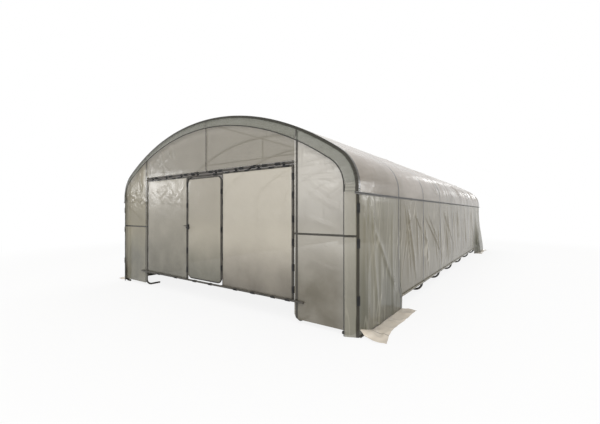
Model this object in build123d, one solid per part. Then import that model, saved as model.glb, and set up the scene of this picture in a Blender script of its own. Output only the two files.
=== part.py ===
"""Polytunnel greenhouse: nine bent tube hoops on hooked feet, a ridge purlin, collar ties and wind braces,
clad in clear film, with a top-hung lifting panel and a standard door in the front gable.

Frame: +Z up, the front gable faces -Y, +X is to the right seen from the front. The origin is on the ground
under the middle of the tunnel. Millimetres.
"""

import math
import os

from build123d import *

# Overall frame
span = 6000.0            # leg centre to leg centre
bay = 1500.0             # hoop spacing
bay_count = 8
apex_height = 3260.0     # hoop centreline at the ridge
leg_top = 1930.0         # where the straight leg turns into the shoulder
shoulder_radius = 600.0
foot_radius = 150.0      # hooked foot, to the tube centreline
foot_spur = 70.0         # straight end of the hooked foot
seat = 0.3               # clearance where one piece rests on another

# Tubes, outside radii. The hoops are drawn with flats, the half width across which is given here.
hoop_tube = 21.0
hoop_sides = 8
post_tube = 19.0
rail_tube = 16.0
panel_tube = 17.0
leaf_tube = 15.0
brace_tube = 13.5
roller_tube = 15.0
hem_tube = 12.0
rope_radius = 5.0

# Cladding
film = 3.0
lip_depth = 58.0         # how far the drawn edge of the cover leans out
lip_inset = 166.0        # how far its rope pulls it in
lip_start = 27.0         # the cover runs straight this far past the end hoop
ground_gap = 5.0         # under the sheets that reach the ground
curtain_bottom = 185.0   # underside of the rolling curtain's bar
sheet_past_hoop = 80.0   # the fixed side sheet ends this far past the second hoop
curtain_overlap = 12.0   # gap between the fixed sheet and the rolling curtain
gable_film_inset = 5.0   # from the hoop centreline
side_film_low = 60.0     # foot of the gable's side films
side_film_round = 70.0   # their free lower corner

# Lock rail that holds the cover's lower edge
lock_drop = 90.0         # below the start of the shoulder
lock_width = 32.0
lock_depth = 12.0
lock_wall = 2.0
lock_lip = 9.0
lock_overhang = 30.0     # past each end hoop on the left
lock_stub = 140.0        # and on the right, where the picture shows its end

# Gable frames
corner_width = 950.0     # corner leg to gable post
post_foot = 300.0        # how far the post's foot runs into the tunnel
post_foot_radius = 110.0
header_height = 2330.0
side_rail_height = 1290.0
collar_drop = 460.0      # collar tie below the hoop's crown
brace_drop = 50.0        # wind brace below the lock rail
brace_foot = 400.0
clamp_width = 44.0       # the saddle that holds the purlin to a hoop
clamp_wall = 3.0

# Lifting panel in the front gable
panel_side_gap = 80.0    # post centreline to stile centreline
panel_drop = 52.0        # header centreline to top rail centreline
bar_height = 320.0
bar_past_post = 130.0
bar_gap = 5.5            # the bar stands clear of the cladding behind it
strap_width = 45.0
strap_count = 8
strap_inset = 170.0      # outermost strap to the stile
strap_wall = 4.0
bar_clamp_width = 30.0
running_gap = 0.1
film_gap = 22.0          # between the panel's film and the gable's

# Standard door in the panel
door_left = -576.0       # door post centrelines
door_right = 450.0
leaf_gap = 11.0          # between leaf and post
leaf_head_gap = 12.0     # under the top rail
leaf_sill_gap = 8.0      # over the bottom bar
leaf_corner = 100.0
door_hinge_inset = 270.0  # top and bottom hinge from the leaf's rails
door_hinge_length = 90.0
door_hinge_pin = 5.0
door_hinge_wall = 4.0
door_hinge_stand = 9.0   # axis in front of the tube faces
latch_height = 1325.0
latch_case_height = 90.0
latch_case_depth = 19.0
latch_bolt = 6.0
latch_reach = 115.0      # the bolt's tip, from the leaf's stile
latch_stand = 42.0       # the lever, from the film

# Ground skirts, each free edge measured from the end hoop along the wall and out from the wall
skirt_width = 270.0
skirt_edge = ((40.0, 100.0), (-20.0, 180.0), (0.0, 350.0), (270.0, 280.0), (540.0, 250.0))

half = span / 2
length = bay * bay_count
front = -length / 2
back = length / 2
hoop_stations = [front + bay * i for i in range(bay_count + 1)]

post_x = half - corner_width
panel_half = post_x - panel_side_gap
bar_half = post_x + bar_past_post
strap_reach = panel_half - strap_inset
panel_top = header_height - panel_drop
collar_height = apex_height - collar_drop
lock_height = leg_top - lock_drop
brace_top = lock_height - brace_drop
end_panel_reach = bay + sheet_past_hoop

shoulder_x = half - shoulder_radius
rise = apex_height - leg_top
roof_radius = (shoulder_x**2 + rise**2 - shoulder_radius**2) / (2 * (rise - shoulder_radius))
roof_centre = apex_height - roof_radius
shoulder_turn = math.degrees(math.atan2(leg_top - roof_centre, shoulder_x))

film_inner = hoop_tube + seat
film_outer = film_inner + film
face_front = hoop_tube + seat        # gable film lies this far in front of the end hoop's plane

collected = {}


def keep(name, *solids):
    """Adds solids to the node that carries this name."""
    collected.setdefault(name, []).extend(solids)


def polar(centre_x, centre_z, radius, degrees, y):
    angle = math.radians(degrees)
    return (centre_x + radius * math.cos(angle), y, centre_z + radius * math.sin(angle))


def arc(centre_x, centre_z, radius, start, end, y):
    """An arc in the plane of a hoop."""
    middle = (start + end) / 2
    points = [polar(centre_x, centre_z, radius, a, y) for a in (start, middle, end)]
    return ThreePointArc(*points)


def arch_edges(offset, low, y):
    """The hoop's line from low on the right leg over the roof to low on the left leg, moved outwards by offset."""
    x = half + offset
    turn = shoulder_turn
    return [
        Line((x, y, low), (x, y, leg_top)),
        arc(shoulder_x, leg_top, shoulder_radius + offset, 0, turn, y),
        arc(0, roof_centre, roof_radius + offset, turn, 180 - turn, y),
        arc(-shoulder_x, leg_top, shoulder_radius + offset, 180 - turn, 180, y),
        Line((-x, y, leg_top), (-x, y, low)),
    ]


def arch_height(x, offset=0.0):
    """Height of the hoop's line over a place x, moved outwards by offset."""
    x = abs(x)
    shoulder_end = (roof_radius + offset) * math.cos(math.radians(shoulder_turn))
    if x <= shoulder_end:
        return roof_centre + math.sqrt((roof_radius + offset) ** 2 - x**2)
    return leg_top + math.sqrt((shoulder_radius + offset) ** 2 - (x - shoulder_x) ** 2)


def arch_half_width(z, offset=0.0):
    """Half the width of the roof arc at a height z."""
    return math.sqrt((roof_radius + offset) ** 2 - (z - roof_centre) ** 2)


def tube_on(edges, radius):
    path = Wire(edges)
    return sweep(Plane(origin=path @ 0, z_dir=path % 0) * Circle(radius), path=path)


def flat_bar_on(edges, radius):
    """As tube_on, with eight flats in place of the round."""
    path = Wire(edges)
    section = RegularPolygon(radius, hoop_sides, major_radius=False, rotation=180 / hoop_sides)
    return sweep(Plane(origin=path @ 0, z_dir=path % 0) * section, path=path)


def rod(start, end, radius):
    """A straight round bar from start to end."""
    axis = Vector(*end) - Vector(*start)
    return extrude(Plane(origin=start, z_dir=axis) * Circle(radius), axis.length)


def block(low, high):
    """A box from its lowest corner to its highest."""
    size = [b - a for a, b in zip(low, high)]
    middle = [(a + b) / 2 for a, b in zip(low, high)]
    return Pos(*middle) * Box(*size)


def upright_prism(points, low, high):
    """A plan outline raised from low to high."""
    return extrude(Plane.XY.offset(low) * make_face(Polyline(*points, close=True)), high - low)


def mirrored(solid, about=Plane.YZ):
    return mirror(solid, about)


def largest(shape):
    """The solid that stays when a cut leaves offcuts."""
    return sorted(shape.solids(), key=lambda solid: solid.volume)[-1]


# Hoops, each one bent tube from foot tip to foot tip


def hoop(y):
    spur_x = half - foot_radius
    foot_low = hoop_tube
    foot_high = hoop_tube + foot_radius
    right = [
        Line((spur_x - foot_spur, y, foot_low), (spur_x, y, foot_low)),
        arc(spur_x, foot_high, foot_radius, -90, 0, y),
    ]
    left = [
        arc(-spur_x, foot_high, foot_radius, 180, 270, y),
        Line((-spur_x, y, foot_low), (-spur_x + foot_spur, y, foot_low)),
    ]
    return flat_bar_on(right + arch_edges(0, foot_high, y) + left, hoop_tube)


# Straight tubes stand in for the legs when another tube is cut to sit on them


def leg_cutter(side, y):
    return flat_bar_on([Line((side * half, y, 0), (side * half, y, leg_top))], hoop_tube + seat)


def arch_cutter(y):
    return flat_bar_on(arch_edges(0, leg_top - 200, y), hoop_tube + seat)


# Roof frame

ridge_height = apex_height - hoop_tube - rail_tube - seat
clamp_low = ridge_height - rail_tube - seat - clamp_wall


def ridge_purlin():
    return rod((0, front, ridge_height), (0, back, ridge_height), rail_tube)


def purlin_clamp(y):
    """A saddle under the purlin whose cheeks stand up on either side of the hoop."""
    hoop_side = hoop_tube + seat
    hoop_under = apex_height - hoop_side
    body = block(
        (-clamp_width / 2, y - hoop_side - clamp_wall, clamp_low),
        (clamp_width / 2, y + hoop_side + clamp_wall, apex_height),
    )
    hoop_space = block((-clamp_width, y - hoop_side, hoop_under), (clamp_width, y + hoop_side, apex_height + 100))
    purlin_space = rod((0, y - 100, ridge_height), (0, y + 100, ridge_height), rail_tube + seat)
    over_purlin = block(
        (-rail_tube - seat, y - 100, ridge_height), (rail_tube + seat, y + 100, hoop_under)
    )
    return largest(body - hoop_space - purlin_space - over_purlin)


def collar_tie(y):
    reach = arch_half_width(collar_height) + hoop_tube
    bar = rod((-reach, y, collar_height), (reach, y, collar_height), rail_tube)
    return largest(bar - arch_cutter(y))


def king_post(y):
    """An upright from the collar tie to the saddle under the purlin."""
    bar = rod((0, y, collar_height), (0, y, clamp_low - seat), rail_tube)
    tie = rod((-100, y, collar_height), (100, y, collar_height), rail_tube + seat)
    return largest(bar - tie)


def wind_brace(side, end):
    """The diagonal of an end bay, from the end hoop's shoulder down to the next hoop's foot."""
    toward = 1 if end < 0 else -1
    high = (side * half, end, brace_top)
    low = (side * half, end + toward * bay, brace_foot)
    bar = rod(high, low, brace_tube)
    cut = bar - leg_cutter(side, high[1]) - leg_cutter(side, low[1])
    return largest(cut)


# Lock rail: a lipped channel that opens outwards


def lock_rail(side):
    low = lock_height - lock_width / 2
    high = lock_height + lock_width / 2
    reach = length / 2 + (lock_stub if side > 0 else lock_overhang)
    inner = half + hoop_tube + seat
    outer = inner + lock_depth
    outline = [
        (inner, low), (outer, low), (outer, low + lock_lip), (outer - lock_wall, low + lock_lip),
        (outer - lock_wall, low + lock_wall), (inner + lock_wall, low + lock_wall),
        (inner + lock_wall, high - lock_wall), (outer - lock_wall, high - lock_wall),
        (outer - lock_wall, high - lock_lip), (outer, high - lock_lip), (outer, high), (inner, high),
    ]
    face = Plane.XZ.offset(reach) * make_face(Polyline(*outline, close=True))
    channel = extrude(face, -2 * reach)
    return channel if side > 0 else mirrored(channel)


# Cladding

lip_run = math.hypot(lip_depth, lip_inset)
lip_out = lip_depth / lip_run
lip_in = lip_inset / lip_run


def lip_corners(end):
    """Plan outline of the cover over one end hoop, as (outward offset, y) along the inner and outer faces."""
    way = -1 if end < 0 else 1
    start = end + way * lip_start
    tip = start + way * lip_depth
    inner = [(film_inner, start), (film_inner - lip_inset, tip)]
    outer = [(film_outer, start), (film_inner - lip_inset + film * lip_out, tip + way * film * lip_in)]
    return inner, outer


def over_the_arch(outline):
    """Sweeps a plan outline of (outward offset, y) over the roof, from lock rail to lock rail."""
    low = lock_height + lock_width / 2 + seat
    points = [(half + offset, y, low) for offset, y in outline]
    path = Wire(arch_edges(0, low, 0))
    return sweep(make_face(Polyline(*points, close=True)), path=path)


def roof_cover():
    reach = length / 2 + lip_start
    return over_the_arch([(film_inner, -reach), (film_inner, reach), (film_outer, reach), (film_outer, -reach)])


def drawn_edge(end):
    """The end of the cover, drawn in round the end hoop by its rope."""
    inner, outer = lip_corners(end)
    return over_the_arch(inner + outer[::-1])


def end_sheet(side, end):
    """The fixed side sheet of an end bay, wrapped round the corner leg."""
    inner, outer = lip_corners(end)
    way = -1 if end < 0 else 1
    stop = end - way * end_panel_reach
    outline = [(film_inner, stop)] + inner + outer[::-1] + [(film_outer, stop)]
    points = [(half + offset, y) for offset, y in outline]
    top = lock_height + lock_width / 2
    sheet = upright_prism(points, ground_gap, top)
    rail_space = block(
        (half + hoop_tube - seat, -length, lock_height - lock_width / 2 - seat),
        (half + 200, length, top + 10),
    )
    sheet = largest(sheet - rail_space)
    return sheet if side > 0 else mirrored(sheet)


curtain_half = length / 2 - end_panel_reach - curtain_overlap
roller_height = curtain_bottom + roller_tube
roller_x = half + film_outer + seat + roller_tube
crank_socket = 11.0      # bore of the roller bar's end
crank_depth = 120.0
roller_overhang = 60.0


def curtain(side):
    sheet = block(
        (half + film_inner, -curtain_half, roller_height),
        (half + film_outer, curtain_half, lock_height - lock_width / 2 - seat),
    )
    return sheet if side > 0 else mirrored(sheet)


def roller_bar(side):
    x = side * roller_x
    reach = curtain_half + roller_overhang
    bar = rod((x, -reach, roller_height), (x, reach, roller_height), roller_tube)
    for way in (-1, 1):
        socket = rod((x, way * reach, roller_height), (x, way * (reach - crank_depth), roller_height), crank_socket)
        bar = bar - socket
    return largest(bar)


def hem_rail(side, end):
    """The weight tube in the foot of a fixed side sheet. It lies on the ground skirt."""
    way = 1 if end < 0 else -1
    x = side * (half + film_outer + seat + hem_tube)
    z = film + seat + hem_tube
    return rod((x, end, z), (x, end + way * end_panel_reach, z), hem_tube)


def ground_skirt(side, end):
    way = 1 if end < 0 else -1
    wall = half + film_outer + seat
    outline = [(0, 0), *skirt_edge, (end_panel_reach, skirt_width), (end_panel_reach, 0)]
    points = [(side * (wall + out), end + way * along) for along, out in outline]
    return upright_prism(points, 0, film)


def tension_rope(end):
    """The rope in the hem of the cover's drawn edge, from the ground over the arch to the ground."""
    way = -1 if end < 0 else 1
    past = rope_radius + seat
    offset = film_inner - lip_inset - lip_in * past
    y = end + way * (lip_start + lip_depth + lip_out * past)
    return flat_bar_on(arch_edges(offset, ground_gap, y), rope_radius)


# Gable frames


def gable_post(side, end):
    """An upright from a foot that hooks into the tunnel to the underside of the end hoop."""
    way = 1 if end < 0 else -1
    x = side * post_x
    y = end + way * -(hoop_tube - post_tube)
    low = post_tube
    foot_high = low + post_foot_radius
    turn = post_foot_radius
    bend = ThreePointArc(
        (x, y + way * turn, low),
        (x, y + way * turn * (1 - math.sqrt(0.5)), foot_high - turn * math.sqrt(0.5)),
        (x, y, foot_high),
    )
    edges = [
        Line((x, y + way * post_foot, low), (x, y + way * turn, low)),
        bend,
        Line((x, y, foot_high), (x, y, arch_height(post_x) + hoop_tube)),
    ]
    bar = tube_on(edges, post_tube)
    return largest(bar - arch_cutter(end))


def post_cutter(side, end):
    way = 1 if end < 0 else -1
    y = end - way * (hoop_tube - post_tube)
    return rod((side * post_x, y, 0), (side * post_x, y, apex_height), post_tube + seat)


def header(end):
    way = 1 if end < 0 else -1
    y = end - way * (hoop_tube - rail_tube)
    bar = rod((-post_x, y, header_height), (post_x, y, header_height), rail_tube)
    cut = bar - post_cutter(-1, end) - post_cutter(1, end)
    return largest(cut)


def side_rail(side, end):
    way = 1 if end < 0 else -1
    y = end - way * (hoop_tube - rail_tube)
    bar = rod((side * post_x, y, side_rail_height), (side * half, y, side_rail_height), rail_tube)
    cut = bar - post_cutter(side, end) - leg_cutter(side, end)
    return largest(cut)


def middle_rail(end):
    way = 1 if end < 0 else -1
    y = end - way * (hoop_tube - rail_tube)
    bar = rod((-post_x, y, side_rail_height), (post_x, y, side_rail_height), rail_tube)
    cut = bar - post_cutter(-1, end) - post_cutter(1, end)
    return largest(cut)


def gable_king(end):
    """The short upright between the header and the end hoop."""
    way = 1 if end < 0 else -1
    y = end - way * (hoop_tube - rail_tube)
    bar = rod((0, y, header_height), (0, y, apex_height), rail_tube)
    beam = rod((-100, y, header_height), (100, y, header_height), rail_tube + seat)
    purlin = rod((0, end - bay, ridge_height), (0, end + bay, ridge_height), rail_tube + seat)
    cut = bar - beam - purlin - arch_cutter(end)
    return largest(cut)


def gable_outline(offset, low):
    """The face of a gable inside the hoop, down to low."""
    edges = arch_edges(offset, low, 0)
    x = half + offset
    edges.append(Line((-x, 0, low), (x, 0, low)))
    return make_face(Wire(edges))


def gable_sheet(end, low_corner, high_corner):
    """Gable film inside the hoop and between two corners (x, z)."""
    way = -1 if end < 0 else 1
    face = gable_outline(-gable_film_inset, ground_gap)
    slab = extrude(face, film / 2, both=True)
    slab = Pos(0, end + way * (face_front + film / 2), 0) * slab
    window = block(
        (low_corner[0], end - 500, low_corner[1]),
        (high_corner[0], end + 500, high_corner[1]),
    )
    return largest(slab & window)


side_film_edge = panel_half + panel_tube + film_gap


def side_sheet(side):
    """The fixed film between a corner leg and the lifting panel."""
    sheet = gable_sheet(front, (side_film_edge, side_film_low), (half, apex_height))
    corner = sheet.edges().filter_by(Axis.Y).sort_by(lambda edge: edge.center().X + edge.center().Z)[0]
    sheet = fillet(corner, side_film_round)
    return sheet if side > 0 else mirrored(sheet)


# Lifting panel: a tube frame hung under the header

panel_y = front - (hoop_tube - panel_tube)
leaf_y = front - (hoop_tube - leaf_tube)
film_y = front - face_front - film
bar_y = film_y - bar_gap - panel_tube
upright_foot = bar_height - panel_tube


def panel_rail(z):
    bar = rod((-panel_half, panel_y, z), (panel_half, panel_y, z), panel_tube)
    cut = bar - stile_cutter(-1) - stile_cutter(1)
    return largest(cut)


def stile_cutter(side):
    return rod((side * panel_half, panel_y, 0), (side * panel_half, panel_y, apex_height), panel_tube + seat)


def panel_stile(side):
    x = side * panel_half
    return rod((x, panel_y, upright_foot), (x, panel_y, panel_top + panel_tube), panel_tube)


def door_post(x):
    bar = rod((x, panel_y, upright_foot), (x, panel_y, panel_top), panel_tube)
    rail = rod((x - 100, panel_y, panel_top), (x + 100, panel_y, panel_top), panel_tube + seat)
    return largest(bar - rail)


def bottom_bar():
    return rod((-bar_half, bar_y, bar_height), (bar_half, bar_y, bar_height), panel_tube)


def bar_clamp(x):
    """A saddle that ties the bottom bar to the upright behind it."""
    reach = bar_clamp_width / 2
    plate = block(
        (x - reach, bar_y + panel_tube / 2, upright_foot + 8),
        (x + reach, panel_y - panel_tube - seat, bar_height + panel_tube - 1),
    )
    bar = rod((x - 100, bar_y, bar_height), (x + 100, bar_y, bar_height), panel_tube + seat)
    return largest(plate - bar)


def panel_sheet(low_x, high_x):
    return block((low_x, film_y, bar_height + panel_tube), (high_x, film_y + film, panel_top))


# Panel hinges: straps that turn on the header and saddle the panel's top rail

header_y = front - (hoop_tube - rail_tube)
strap_ring = rail_tube + running_gap + strap_wall


def strap(x):
    reach = strap_width / 2
    ring = rod((x - reach, header_y, header_height), (x + reach, header_y, header_height), strap_ring)
    saddle = rod(
        (x - reach, panel_y, panel_top), (x + reach, panel_y, panel_top), panel_tube + seat + strap_wall
    )
    upper_half = block((x - reach, panel_y - 50, panel_top + 1), (x + reach, panel_y + 50, header_height))
    web = block(
        (x - reach, panel_y - strap_wall, panel_top + panel_tube),
        (x + reach, panel_y + strap_wall, header_height - rail_tube),
    )
    header_space = rod((x - 100, header_y, header_height), (x + 100, header_y, header_height), rail_tube + running_gap)
    rail_space = rod((x - 100, panel_y, panel_top), (x + 100, panel_y, panel_top), panel_tube + seat)
    return largest(ring + (saddle & upper_half) + web - header_space - rail_space)


strap_stations = [-strap_reach + 2 * strap_reach * i / (strap_count - 1) for i in range(strap_count)]


# Standard door: one bent tube with rounded corners, film on its face

leaf_left = door_left + panel_tube + leaf_gap + leaf_tube
leaf_right = door_right - panel_tube - leaf_gap - leaf_tube
leaf_top = panel_top - panel_tube - leaf_head_gap - leaf_tube
leaf_bottom = bar_height + panel_tube + leaf_sill_gap + leaf_tube
door_hinge_heights = [
    leaf_bottom + door_hinge_inset, (leaf_bottom + leaf_top) / 2, leaf_top - door_hinge_inset
]
door_axis_x = (leaf_right + leaf_tube + door_right - panel_tube) / 2
door_axis_y = front - hoop_tube - door_hinge_stand
barrel_radius = door_hinge_pin + door_hinge_wall


def leaf_frame():
    width = leaf_right - leaf_left
    height = leaf_top - leaf_bottom
    middle = ((leaf_left + leaf_right) / 2, leaf_y, (leaf_top + leaf_bottom) / 2)
    outline = Pos(*middle) * (Plane.XZ * RectangleRounded(width, height, leaf_corner))
    path = outline.faces()[0].outer_wire()
    loop = sweep(Plane(origin=path @ 0, z_dir=path % 0) * Circle(leaf_tube), path=path)
    return largest(loop)


def leaf_sheet():
    width = leaf_right - leaf_left - 2
    height = leaf_top - leaf_bottom - 2
    middle = ((leaf_left + leaf_right) / 2, film_y + film / 2, (leaf_top + leaf_bottom) / 2)
    face = Plane.XZ * RectangleRounded(width, height, leaf_corner - 1)
    return Pos(*middle) * extrude(face, film / 2, both=True)


def door_hinge_pin_on(z):
    """The fixed half of a door hinge: a pin between two lugs on the door post."""
    reach = door_hinge_length / 2
    lug = 12.0
    pin = rod((door_axis_x, door_axis_y, z - reach), (door_axis_x, door_axis_y, z + reach), door_hinge_pin)
    body = pin
    for low in (z - reach, z + reach - lug):
        eye = rod((door_axis_x, door_axis_y, low), (door_axis_x, door_axis_y, low + lug), barrel_radius)
        arm = block((door_axis_x, door_axis_y - 4, low), (door_right - 1, panel_y, low + lug))
        body = body + eye + arm
    post = rod((door_right, panel_y, 0), (door_right, panel_y, apex_height), panel_tube + seat)
    return largest(body - post)


def door_hinge_barrel(z):
    """The moving half of a door hinge: a barrel on the pin with a tail on the leaf."""
    reach = door_hinge_length / 2 - 12.0 - 1.0
    barrel = rod((door_axis_x, door_axis_y, z - reach), (door_axis_x, door_axis_y, z + reach), barrel_radius)
    tail = block((leaf_right, door_axis_y - 4, z - reach), (door_axis_x, leaf_y, z + reach))
    leaf = rod((leaf_right, leaf_y, 0), (leaf_right, leaf_y, apex_height), leaf_tube + seat)
    pin = rod((door_axis_x, door_axis_y, 0), (door_axis_x, door_axis_y, apex_height), door_hinge_pin + running_gap)
    body = barrel + tail - leaf - pin
    return largest(body)


def latch():
    """Slide bolt, lock case and lever on the leaf. The bolt reaches over the door post."""
    face = film_y - seat
    bolt_y = face - latch_case_depth + latch_bolt
    lever_x = leaf_left + 10
    low = latch_height - latch_case_height / 2
    high = latch_height + latch_case_height / 2
    case = block((leaf_left - 14, face - latch_case_depth, low), (leaf_left + 34, face, high))
    bolt = rod(
        (leaf_left - latch_reach, bolt_y, latch_height + 18), (leaf_left, bolt_y, latch_height + 18), latch_bolt
    )
    spindle = rod((lever_x, face - latch_stand, latch_height - 18), (lever_x, face, latch_height - 18), 7)
    grip = block(
        (lever_x - 12, face - latch_stand - 4, latch_height - 26),
        (lever_x + 90, face - latch_stand + 4, latch_height - 10),
    )
    return largest(case + bolt + spindle + grip)


# Assembly

keep("hoop_front", hoop(front))
for number, station in enumerate(hoop_stations[1:-1], start=2):
    keep(f"hoop_{number}", hoop(station))
    keep("collar_ties", collar_tie(station))
    keep("king_posts", king_post(station))
    keep("purlin_clamps", purlin_clamp(station))
keep("hoop_back", hoop(back))
keep("ridge_purlin", ridge_purlin())

for side, word in ((-1, "left"), (1, "right")):
    keep(f"side_curtain_{word}", curtain(side))
    keep(f"end_sheets_{word}", end_sheet(side, front), end_sheet(side, back))
    keep("wind_braces", wind_brace(side, front), wind_brace(side, back))
    keep("lock_rails", lock_rail(side))
    keep("roller_bars", roller_bar(side))
    keep("hem_rails", hem_rail(side, front), hem_rail(side, back))
    keep("ground_skirts", ground_skirt(side, front), ground_skirt(side, back))
    keep("gable_posts", gable_post(side, front))
    keep("back_posts", gable_post(side, back))
    keep("gable_side_rails", side_rail(side, front))
    keep("back_rails", side_rail(side, back))
keep("roof_cover", roof_cover())
keep("cover_drawn_edges", drawn_edge(front), drawn_edge(back))
keep("tension_ropes", tension_rope(front), tension_rope(back))
keep("gable_header", header(front))
keep("back_rails", header(back), middle_rail(back))
keep("gable_king_posts", gable_king(front), gable_king(back))

top_film_low = header_height + strap_ring + film_gap / 4
keep("gable_side_films", side_sheet(-1), side_sheet(1))
keep("gable_top_film", gable_sheet(front, (-side_film_edge + seat, top_film_low), (side_film_edge - seat, apex_height)))
keep("back_film", gable_sheet(back, (-half, 0), (half, apex_height)))

keep("panel_stiles", panel_stile(-1), panel_stile(1))
keep("panel_rails", panel_rail(panel_top))
keep("panel_bottom_bar", bottom_bar())
keep("panel_films", panel_sheet(-panel_half - 10, door_left + 8), panel_sheet(door_right - 0.5, panel_half + 10))
keep("door_posts", door_post(door_left), door_post(door_right))
for x in (-panel_half, door_left, door_right, panel_half):
    keep("bar_clamps", bar_clamp(x))
for x in strap_stations:
    keep("panel_straps", strap(x))

keep("door_frame", leaf_frame())
keep("door_film", leaf_sheet())
keep("door_latch", latch())
for z in door_hinge_heights:
    keep("door_hinge_pins", door_hinge_pin_on(z))
    keep("door_hinge_barrels", door_hinge_barrel(z))

os.makedirs("parts", exist_ok=True)
for name, solids in collected.items():
    found = [solid for shape in solids for solid in shape.solids()]
    export_step(Compound(children=found) if len(found) > 1 else found[0], f"parts/{name}.step")
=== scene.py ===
import math
from functools import partial
import bpy
import bmesh
import numpy as np
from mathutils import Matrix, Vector


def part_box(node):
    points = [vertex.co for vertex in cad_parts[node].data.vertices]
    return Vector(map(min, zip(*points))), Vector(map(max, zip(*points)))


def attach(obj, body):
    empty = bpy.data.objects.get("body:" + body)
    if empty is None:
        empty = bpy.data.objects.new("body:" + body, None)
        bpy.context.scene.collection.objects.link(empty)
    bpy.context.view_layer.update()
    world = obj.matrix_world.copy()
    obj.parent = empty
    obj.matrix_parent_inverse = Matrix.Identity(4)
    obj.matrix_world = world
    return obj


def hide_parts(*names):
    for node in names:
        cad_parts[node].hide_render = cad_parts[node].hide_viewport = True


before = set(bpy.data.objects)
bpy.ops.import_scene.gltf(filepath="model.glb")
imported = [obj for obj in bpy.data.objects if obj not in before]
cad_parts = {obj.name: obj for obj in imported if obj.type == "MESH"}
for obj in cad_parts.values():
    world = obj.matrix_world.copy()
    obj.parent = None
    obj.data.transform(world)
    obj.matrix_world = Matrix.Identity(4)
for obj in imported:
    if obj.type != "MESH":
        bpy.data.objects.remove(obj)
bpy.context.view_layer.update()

# The tunnel's own line, the same as the hoops of the frame. Metres.
tunnel = {
    "halfSpan": 3.0,
    "legTop": 1.93,
    "shoulderRadius": 0.6,
    "crown": 3.26,
    "bay": 1.5,
    "bays": 8,
    "tubeRadius": 0.021,
    "footRadius": 0.15,
    "footSpur": 0.07,
    "postRadius": 0.019,
    "railRadius": 0.016,
}
frontY = -tunnel["bay"] * tunnel["bays"] / 2
backY = -frontY
shoulderX = tunnel["halfSpan"] - tunnel["shoulderRadius"]
archRise = tunnel["crown"] - tunnel["legTop"]
roofSquare = shoulderX**2 + archRise**2 - tunnel["shoulderRadius"] ** 2
roofRadius = roofSquare / (2 * (archRise - tunnel["shoulderRadius"]))
roofCentre = tunnel["crown"] - roofRadius
shoulderTurn = math.atan2(tunnel["legTop"] - roofCentre, shoulderX)
ends = ((frontY, -1, "Front"), (backY, 1, "Back"))
sides = ((-1, "left"), (1, "right"))
rng = np.random.default_rng(7)


def middleOf(node):
    low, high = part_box(node)
    return [(a + b) / 2 for a, b in zip(low, high)]


lockLow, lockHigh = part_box("lock_rails")
lockTop = lockHigh.z
sheetFoot = lockTop + 0.002   # where the roof sheet comes out of the lock rail
sideRailZ = middleOf("gable_side_rails")[2]
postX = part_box("gable_posts")[1].x - tunnel["postRadius"]

# The cover's drawn edge, from past the end hoop out and in to the rope
roofLow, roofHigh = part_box("roof_cover")
ropeLow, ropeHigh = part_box("tension_ropes")
ropeSize = 0.005
filmClear = 0.0226            # from the hoop's line to the film
lipValues = {
    "start": frontY - roofLow.y,
    "depth": roofLow.y - ropeLow.y - ropeSize,
    "clear": filmClear,
    "inset": filmClear + tunnel["halfSpan"] - ropeHigh.x + ropeSize,
    "step": 0.011,
    "rows": 12,
    "pleat": 0.034,          # width of a pleat
    "gather": 0.003,         # half height of the pleats at the rope
    "hollow": 0.006,         # how far the film sags between hoop and rope
    "hemTurns": (0.3, 1.75),  # half turns round the rope
    "hemClear": 0.0022,
    "hemUneven": 0.0006,
    "ropeGap": 0.001,
    "ropeFoot": 0.012,
    "ropeStep": 0.06,
    "film": {
        "low": (0.33, 0.32, 0.275), "high": (0.19, 0.2, 0.168), "lip": (-0.006, 0.036), "gathers": (46, 2),
        "haze": 0.85, "lowHaze": 0.95, "shine": 0.15, "rises": (1.93, 2.02), "uneven": 0.1,
    },
}


# node helpers

# inputs are a node's sockets, by name or number. A value that is itself a socket gets linked.
def setInputs(tree, node, inputs):
    for key, value in inputs.items():
        if isinstance(value, bpy.types.NodeSocket):
            tree.links.new(value, node.inputs[key])
        else:
            node.inputs[key].default_value = value
    return node


def addNode(tree, kind, inputs):
    return setInputs(tree, tree.nodes.new(kind), inputs)


def mathNode(tree, operation, *values):
    node = addNode(tree, "ShaderNodeMath", dict(enumerate(values)))
    node.operation = operation
    return node.outputs[0]


def noiseNode(tree, vector, scale, detail, rough=0.5):
    inputs = {"Vector": vector, "Scale": scale, "Detail": detail, "Roughness": rough}
    return addNode(tree, "ShaderNodeTexNoise", inputs).outputs["Fac"]


def rampNode(tree, factor, *stops):
    node = addNode(tree, "ShaderNodeValToRGB", {"Fac": factor})
    for element, (place, color) in zip(node.color_ramp.elements, stops):
        element.position = place
        element.color = (*color, 1)
    return node.outputs["Color"]


def spread(tree, factor, low, high):
    inputs = {"Value": factor, "To Min": low, "To Max": high}
    return addNode(tree, "ShaderNodeMapRange", inputs).outputs["Result"]


# From low to high, eased, as value goes from start to end
def smoothRange(tree, value, start, end, low=0, high=1):
    inputs = {"Value": value, "From Min": start, "From Max": end, "To Min": low, "To Max": high}
    node = addNode(tree, "ShaderNodeMapRange", inputs)
    node.interpolation_type = "SMOOTHSTEP"
    return node.outputs["Result"]


# 1 within width of a line, falling to 0 over soft
def near(tree, distance, width, soft):
    return smoothRange(tree, distance, width, width + soft, 1, 0)


# Object coordinates, stretched so that a pattern runs long along one axis, and leaning along the wall
def stretched(tree, scale, lean=0):
    source = tree.nodes.new("ShaderNodeTexCoord").outputs["Object"]
    if lean:
        leaning = addNode(tree, "ShaderNodeMapping", {"Vector": source, "Rotation": (lean, 0, 0)})
        source = leaning.outputs["Vector"]
    return addNode(tree, "ShaderNodeMapping", {"Vector": source, "Scale": scale}).outputs["Vector"]


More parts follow.
